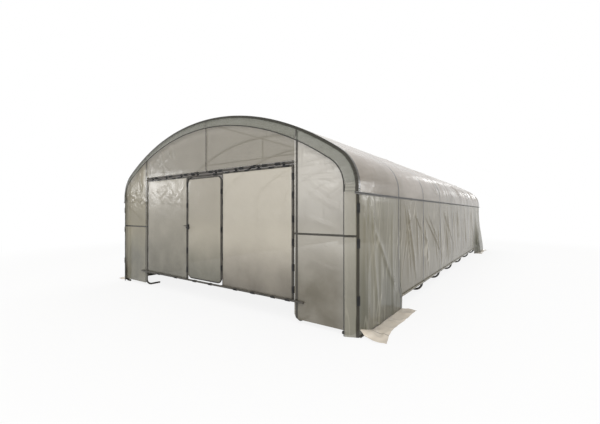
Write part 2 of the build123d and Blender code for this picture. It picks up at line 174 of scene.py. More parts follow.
def bumpNode(tree, height, strength, distance):
    inputs = {"Height": height, "Strength": strength, "Distance": distance}
    return addNode(tree, "ShaderNodeBump", inputs).outputs["Normal"]


def colorMix(tree, factor, a, b):
    mix = tree.nodes.new("ShaderNodeMix")
    mix.data_type = "RGBA"
    a, b = [(*value, 1) if isinstance(value, tuple) else value for value in (a, b)]
    return setInputs(tree, mix, {"Factor": factor, "A": a, "B": b}).outputs["Result"]


def floatMix(tree, factor, a, b):
    return addNode(tree, "ShaderNodeMix", {"Factor": factor, "A": a, "B": b}).outputs["Result"]


def tinted(color, times, more=0):
    return tuple(min(1, c * times + more) for c in color)


# camera and light

cameraValues = {
    "place": (4.7622, frontY - 3.718, 1.5849),
    "turn": 0.623,            # radians, left of straight in
    "tilt": 0.0036,           # radians, up
    "focal": 317.7,           # pixels, on a picture 600 wide
    "pictureWidth": 600,
    "sensor": 36.0,
    "farthest": 200,
}


def makeCamera():
    v = cameraValues
    data = bpy.data.cameras.new("camera")
    data.sensor_width = v["sensor"]
    data.lens = v["focal"] / v["pictureWidth"] * v["sensor"]
    data.clip_end = v["farthest"]
    cam = bpy.data.objects.new("camera", data)
    bpy.context.scene.collection.objects.link(cam)
    cam.location = v["place"]
    cam.rotation_euler = (math.pi / 2 + v["tilt"], 0, v["turn"])
    bpy.context.scene.camera = cam


lightValues = {
    "worldStrength": 0.62,
    "worldColor": (1.0, 0.985, 0.96, 1),
    "lamps": [                # name, place, aimed at, width, watts
        ("keyLamp", (7.0, -16.0, 11.0), (0, -3, 1), 19.0, 1880),
        ("sideLamp", (15.0, 16.0, 5.0), (3, 0, 1), 3.6, 380),
        ("foldLamp", (15.5, 6.5, 3.4), (3, -1, 1), 2.4, 130),
        ("skyLamp", (-3.0, 4.0, 14.0), (0, 0, 1), 11.0, 900),
        ("glintLamp", (-12.2, -12.2, 3.05), (-2, -6, 2), 1.5, 78),
        ("cornerLamp", (-3.2, -16.5, 2.8), (2.7, -6, 1.9), 1.0, 60),
        ("roofLamp", (1.5, 25.0, 9.6), (2.5, -2, 2.5), 2.0, 32),
        ("farLamp", (3.5, 25.0, 5.2), (3, 2, 2.2), 1.8, 26),
    ],
}


# 1 for the camera and for what glass and gloss show, 0 for the light
def whiteToCamera(tree):
    rays = tree.nodes.new("ShaderNodeLightPath").outputs
    seen = mathNode(tree, "MAXIMUM", rays["Is Camera Ray"], rays["Is Glossy Ray"])
    return mathNode(tree, "MAXIMUM", seen, rays["Is Transmission Ray"])


def makeLight():
    v = lightValues
    world = bpy.data.worlds.new("studio")
    bpy.context.scene.world = world
    world.use_nodes = True
    tree = world.node_tree
    tree.nodes.clear()
    soft = addNode(tree, "ShaderNodeBackground", {"Color": v["worldColor"], "Strength": v["worldStrength"]})
    white = addNode(tree, "ShaderNodeBackground", {"Color": (1, 1, 1, 1)})
    share = whiteToCamera(tree)
    mix = addNode(tree, "ShaderNodeMixShader", {0: share, 1: soft.outputs[0], 2: white.outputs[0]})
    addNode(tree, "ShaderNodeOutputWorld", {"Surface": mix.outputs[0]})
    for name, place, aim, width, watts in v["lamps"]:
        data = bpy.data.lights.new(name, "AREA")
        data.size = width
        data.energy = watts
        lamp = bpy.data.objects.new(name, data)
        bpy.context.scene.collection.objects.link(lamp)
        lamp.location = place
        lamp.rotation_euler = (Vector(aim) - Vector(place)).to_track_quat("-Z", "Y").to_euler()
    bpy.context.scene.view_settings.view_transform = "Standard"


floorValues = {
    "size": 120,
    "drop": 0.002,            # below the feet
    "color": (0.8, 0.8, 0.8, 1),
    "white": 0.85,            # share of plain white near the tunnel. The rest keeps the shadow
    "fadeFrom": 9.0,
    "fadeTo": 15.0,           # all white past this
}


def makeFloor():
    v = floorValues
    mesh = bpy.data.meshes.new("floor")
    bm = bmesh.new()
    bmesh.ops.create_grid(bm, x_segments=1, y_segments=1, size=v["size"])
    bm.to_mesh(mesh)
    bm.free()
    floor = bpy.data.objects.new("floor", mesh)
    bpy.context.scene.collection.objects.link(floor)
    floor.location.z = -v["drop"]
    mat = bpy.data.materials.new("floorWhite")
    mat.use_nodes = True
    tree = mat.node_tree
    tree.nodes.clear()
    matt = addNode(tree, "ShaderNodeBsdfDiffuse", {"Color": v["color"]})
    glow = addNode(tree, "ShaderNodeEmission", {"Strength": 1.0})
    coords = tree.nodes.new("ShaderNodeTexCoord")
    away = addNode(tree, "ShaderNodeVectorMath", {0: coords.outputs["Object"]})
    away.operation = "LENGTH"
    fade = smoothRange(tree, away.outputs["Value"], v["fadeFrom"], v["fadeTo"], v["white"], 1)
    share = mathNode(tree, "MULTIPLY", whiteToCamera(tree), fade)
    mix = addNode(tree, "ShaderNodeMixShader", {0: share, 1: matt.outputs[0], 2: glow.outputs[0]})
    addNode(tree, "ShaderNodeOutputMaterial", {"Surface": mix.outputs[0]})
    mesh.materials.append(mat)


makeCamera()
makeLight()
makeFloor()
print("camera, light and floor")


# materials

# What a film has unless its own values say otherwise
filmLooks = {
    "long": (1, 1, 1),       # how its pattern is squeezed along x, y and z
    "rises": (0.1, 1.5),     # metres up, between which its colour goes from low to high
    "clears": (1.0, 1.6),    # metres up, between which it gets as clear as it is above
    "lowHaze": 0.975,        # how much of the light the film stops near the ground
    "haze": 0.8,             # and above
    "uneven": 0.5,           # how far patches shift its colour
    "patchSize": 1.1,        # higher is finer, as in the next two
    "creaseSize": 5.0,
    "mottleSize": 2.2,
    "mottle": 0.3,
    "gloss": 0.16,           # roughness where it is smooth
    "shine": 0.4,            # specular level
    "crease": 0.35,          # strength of the bump
    "tubeAndShadowColor": (0.036, 0.033, 0.026),    # where it lies on a tube and shows it, and the colour of a painted shadow line
    "tubeAndShadowLines": 0.93,           # how strongly
    "lineSoft": 0.006,       # soft edge of such a line
    "hoops": False,          # shows every hoop
    "hoopLine": (0.02, 0.018),              # half width and soft edge of that
    "arch": False,           # shows the end hoop round a gable
    "archLine": (0.02, 0.01),
    "paintedGlowBand": (0.05, 0.3),                # a paler band along that, painted light coming through the film: width, soft edge
    "paintedGlow": 0.55,          # how pale that painted light is
    "lip": None,             # from and to how far past the end hoop it lies round that
    "lipSoft": 0.003,
    "lipHaze": 0.62,         # where it stands free of the end hoop
    "lipPale": None,         # its colour there
    "lipGap": 0.004,         # from the lip to where it stands free, and the width of the hem's dark line
    "gathers": None,         # pleats along and across, to a metre; their dark lines are painted shade in the pleats
    "paintedHighlights": None,         # painted highlights: thin pale lines in the colour that stand in for light on fold crests
    "paintedHighlightLine": (0.004, 0.016),
}


# Distance from the hoop's line inwards, over the face of a gable
def hoopDistance(tree, xyz):
    calc = partial(mathNode, tree)
    ax = calc("ABSOLUTE", xyz["X"])
    leg = calc("SUBTRACT", tunnel["halfSpan"], ax)
    sx = calc("SUBTRACT", ax, shoulderX)
    sz = calc("SUBTRACT", xyz["Z"], tunnel["legTop"])
    rz = calc("SUBTRACT", xyz["Z"], roofCentre)

    def within(radius, across, up):
        square = calc("ADD", calc("MULTIPLY", across, across), calc("MULTIPLY", up, up))
        return calc("SUBTRACT", radius, calc("SQRT", square))

    onRoof = calc("GREATER_THAN", sz, calc("MULTIPLY", sx, math.tan(shoulderTurn)))
    upper = floatMix(tree, onRoof, within(tunnel["shoulderRadius"], sx, sz), within(roofRadius, ax, rz))
    return floatMix(tree, calc("LESS_THAN", sz, 0.0), upper, leg)


# Clear film. film has its colours at its foot and at its top, and whatever differs from filmLooks.
# lines are (axis, place, half width) of the tubes that it lies on and shows, and of any painted shadow line.
# lipLines are the same, and show only past the end hoop.
def filmMaterial(name, film, lines=(), lipLines=()):
    v = {**filmLooks, **film}
    low, high = v["low"], v["high"]
    mat, tree, skin = newMaterial(name)
    calc = partial(mathNode, tree)
    flat = stretched(tree, (1, 1, 1))
    drawn = stretched(tree, v["long"])
    xyz = addNode(tree, "ShaderNodeSeparateXYZ", {0: flat}).outputs
    creases = noiseNode(tree, drawn, v["creaseSize"], 5, 0.55)
    patches = calc("SUBTRACT", noiseNode(tree, flat, v["patchSize"], 4), 0.5)
    rise = smoothRange(tree, xyz["Z"], *v["rises"])
    patches = calc("ADD", rise, calc("MULTIPLY", patches, v["uneven"]))
    level = calc("MINIMUM", calc("MAXIMUM", patches, 0.0), 1.0)
    clouded = spread(tree, smoothRange(tree, xyz["Z"], *v["clears"]), v["lowHaze"], v["haze"])
    color = colorMix(tree, level, low, high)
    mottled = spread(tree, noiseNode(tree, drawn, v["mottleSize"], 3), -v["mottle"], v["mottle"] * 1.6)
    color = colorMix(tree, mottled, color, tinted(high, 1.2, 0.02))
    # Painted highlights: thin pale lines put into the colour where light would catch the crests of folds
    if v["paintedHighlights"]:
        highlight = v["paintedHighlights"]
        ridges = noiseNode(tree, stretched(tree, highlight["long"], highlight["lean"]), highlight["size"], 2)
        highlightLines = near(tree, calc("ABSOLUTE", calc("SUBTRACT", ridges, 0.5)), *v["paintedHighlightLine"])
        shown = calc("MULTIPLY", highlightLines, spread(tree, noiseNode(tree, drawn, 1.3, 2), -1.0, 2.2))
        color = colorMix(tree, calc("MULTIPLY", shown, highlight["strength"]), color, tinted(high, 1.55, 0.13))
    if v["gathers"]:
        uvs = tree.nodes.new("ShaderNodeUVMap").outputs["UV"]
        mapping = addNode(tree, "ShaderNodeMapping", {"Vector": uvs, "Scale": (*v["gathers"], 1)})
        pleats = noiseNode(tree, mapping.outputs["Vector"], 1.0, 2, 0.6)
        # Painted shade: the hollows of the pleats are darkened in the colour
        pleatShade = spread(tree, near(tree, pleats, 0.42, 0.14), 0.0, 0.42)
        color = colorMix(tree, pleatShade, color, tinted(low, 0.3))
        creases = calc("ADD", creases, pleats)
    shows = []
    past = calc("ADD", calc("ABSOLUTE", xyz["Y"]), frontY)
    for axis, place, width in (*lines, *lipLines):
        line = near(tree, calc("ABSOLUTE", calc("SUBTRACT", xyz[axis], place)), width, v["lineSoft"])
        if (axis, place, width) in lipLines:
            line = calc("MULTIPLY", calc("GREATER_THAN", past, v["lip"][1]), line)
        shows.append(line)
    if v["hoops"]:
        shifted = calc("ADD", xyz["Y"], tunnel["bay"] * 40)
        away = calc("PINGPONG", shifted, tunnel["bay"] / 2)    # 0 on a hoop, half a bay between hoops
        shows.append(near(tree, away, *v["hoopLine"]))
    if v["arch"]:
        inside = hoopDistance(tree, xyz)
        shows.append(near(tree, inside, *v["archLine"]))
        # Painted light: the film beside the end hoop is made paler, standing in for light coming through it
        thick = calc("MULTIPLY", near(tree, inside, *v["paintedGlowBand"]), v["paintedGlow"])
        color = colorMix(tree, thick, color, tinted(high, 1.5, 0.12))
    if v["lip"]:
        start, end = v["lip"]
        band = calc("ABSOLUTE", calc("SUBTRACT", past, (start + end) / 2))
        shows.append(near(tree, band, (end - start) / 2, v["lipSoft"]))
        hem = calc("GREATER_THAN", past, lipValues["start"] + lipValues["depth"] - v["lipGap"])
        color = colorMix(tree, hem, color, tinted(low, 0.15))
        free = calc("GREATER_THAN", past, end + v["lipGap"])
        if v["lipPale"]:
            pale = calc("MULTIPLY", free, spread(tree, level, 0.45, 0.95))
            color = colorMix(tree, pale, color, v["lipPale"])
        offGround = calc("MINIMUM", calc("MULTIPLY", level, 4.0), 1.0)
        less = 1 - filmLooks["lipHaze"] / filmLooks["lowHaze"]
        thinner = calc("MULTIPLY", calc("MULTIPLY", free, offGround), less)
        clouded = calc("MULTIPLY", clouded, calc("SUBTRACT", 1.0, thinner))
    if shows:
        tubeAndShadowLines = shows[0]
        for line in shows[1:]:
            tubeAndShadowLines = calc("MAXIMUM", tubeAndShadowLines, line)
        color = colorMix(tree, calc("MULTIPLY", tubeAndShadowLines, v["tubeAndShadowLines"]), color, v["tubeAndShadowColor"])
    setInputs(tree, skin, {
        "Base Color": color,
        "Roughness": spread(tree, creases, v["gloss"] - 0.04, v["gloss"] + 0.12),
        "Specular IOR Level": v["shine"],
        "Normal": bumpNode(tree, creases, v["crease"], 0.02),
        "Alpha": calc("ADD", clouded, spread(tree, creases, -0.02, 0.02)),
    })
    return mat


def newMaterial(name):
    mat = bpy.data.materials.new(name)
    mat.use_nodes = True
    return mat, mat.node_tree, mat.node_tree.nodes["Principled BSDF"]


def paintMaterial(name, color, worn, gloss):
    mat, tree, skin = newMaterial(name)
    flat = stretched(tree, (1, 1, 1))
    patches = noiseNode(tree, flat, 6.0, 6, 0.65)
    grain = noiseNode(tree, flat, 160.0, 2)
    setInputs(tree, skin, {
        "Base Color": rampNode(tree, patches, (0.35, color), (0.72, worn)),
        "Roughness": spread(tree, patches, gloss, gloss + 0.22),
        "Metallic": 0.2,
        "Normal": bumpNode(tree, grain, 0.15, 0.001),
    })
    return mat


def plasticMaterial(name, color):
    mat, tree, skin = newMaterial(name)
    flat = stretched(tree, (1, 1, 1))
    grain = noiseNode(tree, flat, 240.0, 2)
    patches = noiseNode(tree, flat, 14.0, 4)
    setInputs(tree, skin, {
        "Base Color": rampNode(tree, patches, (0.4, color), (0.75, tinted(color, 1.9, 0.008))),
        "Roughness": spread(tree, patches, 0.5, 0.7),
        "Specular IOR Level": 0.22,
        "Normal": bumpNode(tree, grain, 0.2, 0.0006),
    })
    return mat


def ropeMaterial(name, color):
    mat, tree, skin = newMaterial(name)
    flat = stretched(tree, (1, 1, 1))
    wave = addNode(tree, "ShaderNodeTexWave", {"Vector": flat, "Scale": 45.0, "Distortion": 1.5})
    wave.wave_type = "BANDS"
    wave.bands_direction = "DIAGONAL"
    braid = wave.outputs["Fac"]
    setInputs(tree, skin, {
        "Base Color": rampNode(tree, braid, (0.2, color), (0.8, tinted(color, 2.2))),
        "Roughness": 0.85,
        "Normal": bumpNode(tree, braid, 0.6, 0.0015),
    })
    return mat


paints = {                    # colour, colour where it is worn, roughness
    "hoopPaint": ((0.028, 0.026, 0.021), (0.07, 0.062, 0.05), 0.38),
    "tubePaint": ((0.034, 0.031, 0.025), (0.085, 0.075, 0.06), 0.38),
    "lockRailPaint": ((0.03, 0.028, 0.024), (0.075, 0.07, 0.06), 0.32),
    "jointSteel": ((0.05, 0.048, 0.042), (0.12, 0.11, 0.095), 0.3),
}
hoopPaint, tubePaint, railPaint, jointSteel = [paintMaterial(name, *paint) for name, paint in paints.items()]
blackPlastic = plasticMaterial("blackPlastic", (0.012, 0.012, 0.012))
ropeFibre = ropeMaterial("ropeFibre", (0.02, 0.022, 0.02))
print("materials")


# mesh helpers

def linked(name, mesh, material, body):
    piece = bpy.data.objects.new(name, mesh)
    bpy.context.scene.collection.objects.link(piece)
    mesh.materials.append(material)
    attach(piece, body)
    return piece


# A sheet from a grid of points, rows by columns. across and down are its own lengths, for its pattern.
def gridPiece(name, points, material, body, closed=False, across=None, down=None):
    rows, columns = points.shape[:2]
    mesh = bpy.data.meshes.new(name)
    index = np.arange(rows * columns).reshape(rows, columns)
    faces = np.stack([index[:-1, :-1], index[1:, :-1], index[1:, 1:], index[:-1, 1:]], axis=-1).reshape(-1, 4)
    if closed:
        wrap = np.stack([index[:-1, -1], index[1:, -1], index[1:, 0], index[:-1, 0]], axis=-1)
        faces = np.concatenate([faces, wrap.reshape(-1, 4)])
    mesh.from_pydata(points.reshape(-1, 3).tolist(), [], faces.tolist())
    mesh.polygons.foreach_set("use_smooth", [True] * len(mesh.polygons))
    if across is not None:
        layer = mesh.uv_layers.new(name="lengths")
        places = np.stack([across, down], axis=-1).reshape(-1, 2)
        layer.data.foreach_set("uv", places[faces.reshape(-1)].reshape(-1))
    mesh.update()
    return linked(name, mesh, material, body)


def joinRings(bm, rings):
    count = len(rings[0])
    for r0, r1 in zip(rings[:-1], rings[1:]):
        for i in range(count):
            bm.faces.new((r0[i], r0[(i + 1) % count], r1[(i + 1) % count], r1[i]))


def solidPiece(name, bm, material, body):
    bmesh.ops.recalc_face_normals(bm, faces=bm.faces)
    mesh = bpy.data.meshes.new(name)
    bm.to_mesh(mesh)
    bm.free()
    return linked(name, mesh, material, body)


latticeSize = 256
lattice = rng.random((latticeSize, latticeSize)) * 2 - 1


# Smooth noise from -1 to 1
def softNoise(x, y, shift=0):
    x = np.asarray(x, float) + shift * 17.3
    y = np.asarray(y, float) + shift * 9.1
    ix = np.floor(x).astype(int)
    iy = np.floor(y).astype(int)
    fx, fy = x - ix, y - iy
    fx = fx * fx * (3 - 2 * fx)
    fy = fy * fy * (3 - 2 * fy)
    corner = [lattice[(ix + i) % latticeSize, (iy + j) % latticeSize] for i in (0, 1) for j in (0, 1)]
    near0 = corner[0] * (1 - fy) + corner[1] * fy
    near1 = corner[2] * (1 - fy) + corner[3] * fy
    return near0 * (1 - fx) + near1 * fx


# 0 to 1, with sharp ridges as folded film has
def creased(x, y, shift=0):
    return (1 - np.abs(softNoise(x, y, shift))) ** 3


def ease(value, low, high):
    t = np.clip((value - low) / (high - low), 0, 1)
    return t * t * (3 - 2 * t)


# A rounded ridge across the distance from its line
def ridge(away, wide):
    return np.exp(-np.abs(away / wide) ** 1.6)


# Height of hung folds. A line is (start, end, width, height, from, to): where it lies at the top and
# at the foot, its half width, and between which parts of the drop it stands out. Its near side is the
# steeper one.
def foldLines(u, down, lines):
    height = np.zeros(np.broadcast(u, down).shape)
    for start, end, width, rise, first, last in lines:
        away = u - (start + (end - start) * down)
        wide = np.where(away > 0, width * 1.5, width * 0.6) * (0.55 + 0.45 * down)
        along = ease(down, first, first + 0.16) * (1 - ease(down, last - 0.25, last))
        height = height + rise * ridge(away, wide) * along
    return height


# Points and outward normals along the hoop's line, from the right side over the roof to the left
def archPoints(low, offset, step):
    halfSpan, legTop, radius = tunnel["halfSpan"], tunnel["legTop"], tunnel["shoulderRadius"]
    leg, shoulder, roof = legTop - low, radius * shoulderTurn, roofRadius * (math.pi - 2 * shoulderTurn)
    total = leg + shoulder + roof + shoulder + leg
    runs = np.linspace(0, total, int(total / step) + 1)
    places, normals = [], []
    for s in runs:
        run = s - leg
        if run <= 0:
            places.append((halfSpan, low + s))
            normals.append((1, 0))
            continue
        if run > shoulder + roof + shoulder:
            places.append((-halfSpan, legTop - (run - shoulder - roof - shoulder)))
            normals.append((-1, 0))
            continue
        if run <= shoulder:
            angle, centre, bend = run / radius, (shoulderX, legTop), radius
        elif run <= shoulder + roof:
            angle, centre, bend = shoulderTurn + (run - shoulder) / roofRadius, (0, roofCentre), roofRadius
        else:
            angle = math.pi - shoulderTurn + (run - shoulder - roof) / radius
            centre, bend = (-shoulderX, legTop), radius
        n = (math.cos(angle), math.sin(angle))
        places.append((centre[0] + bend * n[0], centre[1] + bend * n[1]))
        normals.append(n)
    places, normals = np.array(places), np.array(normals)
    return places + normals * offset, normals, runs


# The points of a sheet that lies d outside the arch, at y
def offArch(places, normals, d, y):
    x = places[:, 0][:, None] + normals[:, 0][:, None] * d
    z = places[:, 1][:, None] + normals[:, 1][:, None] * d
    return np.stack([x, y, z], axis=-1)


# Rings of points round a path of 3-D points
def tubePoints(path, radius, count):
    path = np.array(path, float)
    tangents = np.gradient(path, axis=0)
    tangents /= np.linalg.norm(tangents, axis=1)[:, None]
    side = np.cross(tangents[0], (0.0, 1.0, 0.0))
    if np.linalg.norm(side) < 0.3:
        side = np.cross(tangents[0], (1.0, 0.0, 0.0))
    angles = np.linspace(0, 2 * math.pi, count, endpoint=False)
    rings = []
    for place, tangent in zip(path, tangents):
        side = side - tangent * (side @ tangent)
        side /= np.linalg.norm(side)
        other = np.cross(tangent, side)
        rings.append([place + radius * (math.cos(a) * side + math.sin(a) * other) for a in angles])
    return np.array(rings)


def tubePiece(name, path, radius, count, material, body):
    piece = gridPiece(name, tubePoints(path, radius, count), material, body, closed=True)
    bm = bmesh.new()
    bm.from_mesh(piece.data)
    bmesh.ops.holes_fill(bm, edges=[e for e in bm.edges if e.is_boundary], sides=0)
    bmesh.ops.recalc_face_normals(bm, faces=bm.faces)
    bm.to_mesh(piece.data)
    bm.free()
    return piece


# hoops

hoopValues = {"step": 0.09, "sides": 18, "bendSteps": 8}


def hoopPath(y):
    radius, spur = tunnel["footRadius"], tunnel["footSpur"]
    footX = tunnel["halfSpan"] - radius
    z = tunnel["tubeRadius"]
    right = [(footX - spur, y, z), (footX - spur / 2, y, z)]
    for angle in np.linspace(-math.pi / 2, 0, hoopValues["bendSteps"] + 1)[:-1]:
        right.append((footX + radius * math.cos(angle), y, z + radius + radius * math.sin(angle)))
    places, _, _ = archPoints(z + radius, 0, hoopValues["step"])
    middle = [(x, y, height) for x, height in places]
    left = [(-x, py, height) for x, py, height in reversed(right)]
    return right + middle + left


def makeHoops():
    names = ["hoop_front"] + [f"hoop_{i}" for i in range(2, tunnel["bays"] + 1)] + ["hoop_back"]
    for i, node in enumerate(names):
        path = hoopPath(frontY + tunnel["bay"] * i)
        name = f"roundTube_{node}"
        hoop = tubePiece(name, path, tunnel["tubeRadius"], hoopValues["sides"], hoopPaint, "tunnel")
        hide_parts(node)


makeHoops()
print("hoops")


# film over the roof

roofValues = {
    "step": 0.04,
    "ripple": 0.006,
    "gathers": 75,           # folds that stand up from each lock rail
    "gatherRise": 0.011,
    "crinkles": 45,          # long folds from hoop to hoop over each shoulder
    "crinkleRise": 0.01,
    "highest": 0.04,
    "tuckedIn": 0.06,
    "turnedIn": 0.04,
    "film": {
        "low": (0.2, 0.172, 0.132), "high": (0.5, 0.445, 0.4), "hoops": True, "long": (1, 0.4, 1),
        "haze": 0.85, "lowHaze": 0.9, "rises": (1.9, 2.8), "clears": (2.2, 3.0), "gloss": 0.13, "shine": 0.3,
    },
}


# 1 on a hoop and 0 away from it
def onHoop(y, width=0.06):
    bay = tunnel["bay"]
    away = np.abs((y - frontY + bay / 2) % bay - bay / 2)
    return 1 - ease(away, 0.012, width)


def roofSheet():
    v = roofValues
    places, normals, run = archPoints(sheetFoot, filmClear, v["step"])
    total = run[-1]
    ys = np.linspace(roofLow.y, roofHigh.y, int((backY - frontY) / v["step"]))
    y, s = np.meshgrid(ys, run)
    d = creased(y / 0.8 + s * 0.35, s / 0.5, 2) * v["ripple"]
    for fromRail in (s, total - s):
        lines = []
        for _ in range(v["gathers"]):
            start = rng.uniform(frontY, backY)
            strength = 0.35 + 0.65 * float(ease(start, -3.5, 2.5))
            reach = rng.uniform(0.25, 0.6)
            end, width = start + rng.normal(0.25, 0.25), rng.uniform(0.03, 0.06)
            lines.append((start, end, width, v["gatherRise"] * strength * rng.uniform(0.5, 1), 0.0, reach))
        d = d + foldLines(y, fromRail / 2.0, lines)
        for _ in range(v["crinkles"]):
            y0 = rng.uniform(frontY - 0.3, backY - 0.5)
            long = rng.uniform(0.7, 1.7)
            s0 = rng.uniform(0.55, 2.1)
            slope = rng.normal(0.0, 0.22)
            width = rng.uniform(0.035, 0.09)
            away = fromRail - (s0 + slope * (y - y0))
            along = ease(y, y0, y0 + 0.3 * long) * (1 - ease(y, y0 + 0.6 * long, y0 + long))
            wide = np.where(away > 0, width, width * 0.5)
            d = d + v["crinkleRise"] * rng.uniform(0.4, 1) * ridge(away, wide) * along
    fromEdge = np.minimum(s, total - s)
    rest = 1 - 0.8 * onHoop(y)
    pinned = ease(fromEdge, 0.0, 0.04) * ease(y - ys[0], 0, 0.06) * ease(ys[-1] - y, 0, 0.06)
    points = offArch(places, normals, np.minimum(d, v["highest"]) * rest * pinned, y)
    roofFilm = filmMaterial("roofFilm", v["film"])
    piece = gridPiece("roofSheet", points, roofFilm, "tunnel", across=y, down=s)
    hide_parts("roof_cover")


# Offset from the hoop's line and distance past the end hoop, from the roof (0) to the rope (1)
def lipProfile(k):
    v = lipValues
    return v["clear"] - v["inset"] * k, v["start"] + v["depth"] * k


lipLength = math.hypot(lipValues["depth"], lipValues["inset"])
ropeOffset, ropePast = lipProfile(1 + (ropeSize + lipValues["ropeGap"]) / lipLength)


# The same from the end hoop's plane: round the leg, then straight to the rope
def cornerProfile(run):
    v = lipValues
    endX, endY = v["clear"] - v["inset"], v["start"] + v["depth"]
    away = math.hypot(endX, endY)
    turn = math.atan2(endY, endX) - math.acos(v["clear"] / away)
    bend = v["clear"] * turn
    angle = np.minimum(run / v["clear"], turn)
    rest = np.maximum(run - bend, 0)
    offset = v["clear"] * np.cos(angle) - rest * math.sin(turn)
    past = v["clear"] * np.sin(angle) + rest * math.cos(turn)
    return offset, past, bend, bend + math.sqrt(away**2 - v["clear"] ** 2)


def lipSheets():
    v = lipValues
    places, normals, run = archPoints(sheetFoot, 0, v["step"])
    normalIn, normalOut = v["depth"] / lipLength, v["inset"] / lipLength
    hemTurns = np.linspace(*v["hemTurns"], 8) * math.pi
    frontTubes = [("X", postX, 0.013), ("X", -postX, 0.013), ("X", 0.0, 0.009)]
    edgeFilm = filmMaterial("drawnEdgeFilm", v["film"], lipLines=frontTubes)
    for end, way, word in ends:
        s, k = np.meshgrid(run, np.linspace(0, 1, v["rows"] + 1), indexing="ij")
        pleats = softNoise(s / v["pleat"], k * 1.2, 4 + way)
        pleats = pleats + 0.6 * softNoise(s / v["pleat"] * 1.9, k * 2, 5 + way)
        d = pleats * v["gather"] * ease(k, 0.1, 0.6) - np.sin(k * math.pi) * v["hollow"]
        offset, past = lipProfile(k)
        offset, past = offset + d * normalIn, past + d * normalOut
        # the hem is turned round the rope
        turned = np.arctan2(normalOut, normalIn) + hemTurns[None, :]
        uneven = v["hemUneven"] * softNoise(run / 0.03, run * 0, 6)[:, None]
        hemSize = ropeSize + v["hemClear"] + uneven
        offset = np.concatenate([offset, ropeOffset + hemSize * np.cos(turned)], axis=1)
        past = np.concatenate([past, ropePast + hemSize * np.sin(turned)], axis=1)
        hemDowns = lipLength + np.tile(hemTurns * ropeSize, (len(run), 1))
        points = offArch(places, normals, offset, end + way * past)
        piece = gridPiece(
            f"drawnEdge{word}", points, edgeFilm, "tunnel",
            across=np.tile(run[:, None], (1, offset.shape[1])),
            down=np.concatenate([k * lipLength, hemDowns], axis=1),
        )
        if way < 0:
            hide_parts("cover_drawn_edges")


def ropes():
    v = lipValues
    for end, way, word in ends:
        places, _, _ = archPoints(v["ropeFoot"], ropeOffset, v["ropeStep"])
        path = [(x, end + way * ropePast, z) for x, z in places]
        rope = tubePiece(f"rope{word}", path, ropeSize, 10, ropeFibre, "tunnel")
        if way < 0:
            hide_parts("tension_ropes")


ropes()
roofSheet()
lipSheets()
print("roof sheet and its drawn edges")


# side curtains

curtainValues = {
    "stepAlong": 0.0105,
    "stepDown": 0.026,
    "folds": 44,             # long folds, most of them leaning away from the door
    "foldRise": 0.014,
    "gathers": 80,           # short ones under the lock rail
    "gatherRise": 0.003,
    "lean": 0.5,
    "farRise": 0.55,         # share of their height that the far folds keep
    "main": [                # the folds that the right side shows most
        (-3.81, -4.47, 0.024, 0.012, -0.1, 1.1),
        (-4.02, -1.52, 0.026, 0.012, 0.05, 0.7),
        (-3.35, -0.74, 0.024, 0.013, 0.12, 0.9),
        (-3.0, -0.6, 0.02, 0.009, 0.1, 0.7),
        (-1.4, 0.9, 0.03, 0.012, 0.05, 0.8),
    ],
    "highest": 0.05,
    "offLeg": 0.004,         # beyond the roof film's own clearance
    "wrapRadius": 0.0165,
    "wrapTurns": 1.4,
    "wrapStep": 0.0004,      # a turn lies this much outside the last
    "wrapUneven": 0.0012,
    "film": {
        "low": (0.175, 0.158, 0.117), "high": (0.21, 0.19, 0.142), "hoops": True, "long": (1, 1, 0.25),
        "shine": 0.17, "haze": 0.88,
        # its thin pale lines are painted highlights on the folds
        "paintedHighlights": {"long": (1, 1, 0.13), "size": 3.0, "strength": 0.62, "lean": 0.28},
    },
}


# Seeded folds of a hung sheet between low and high
def hungFolds(v, low, high):
    lines = []
    for _ in range(v["folds"]):
        start = rng.uniform(low - 0.4, high)
        end, width = start + rng.normal(v["lean"], 0.28), rng.uniform(0.04, 0.1)
        rise = v["foldRise"] * rng.uniform(0.3, 1)
        lines.append((start, end, width, rise, rng.uniform(-0.1, 0.35), rng.uniform(0.7, 1.3)))
    for _ in range(v["gathers"]):
        start = rng.uniform(low, high)
        end, width = start + rng.normal(v["lean"], 0.5), rng.uniform(0.016, 0.04)
        rise = v["gatherRise"] * rng.uniform(0.4, 1)
        lines.append((start, end, width, rise, 0.0, rng.uniform(0.12, 0.4)))
    return lines


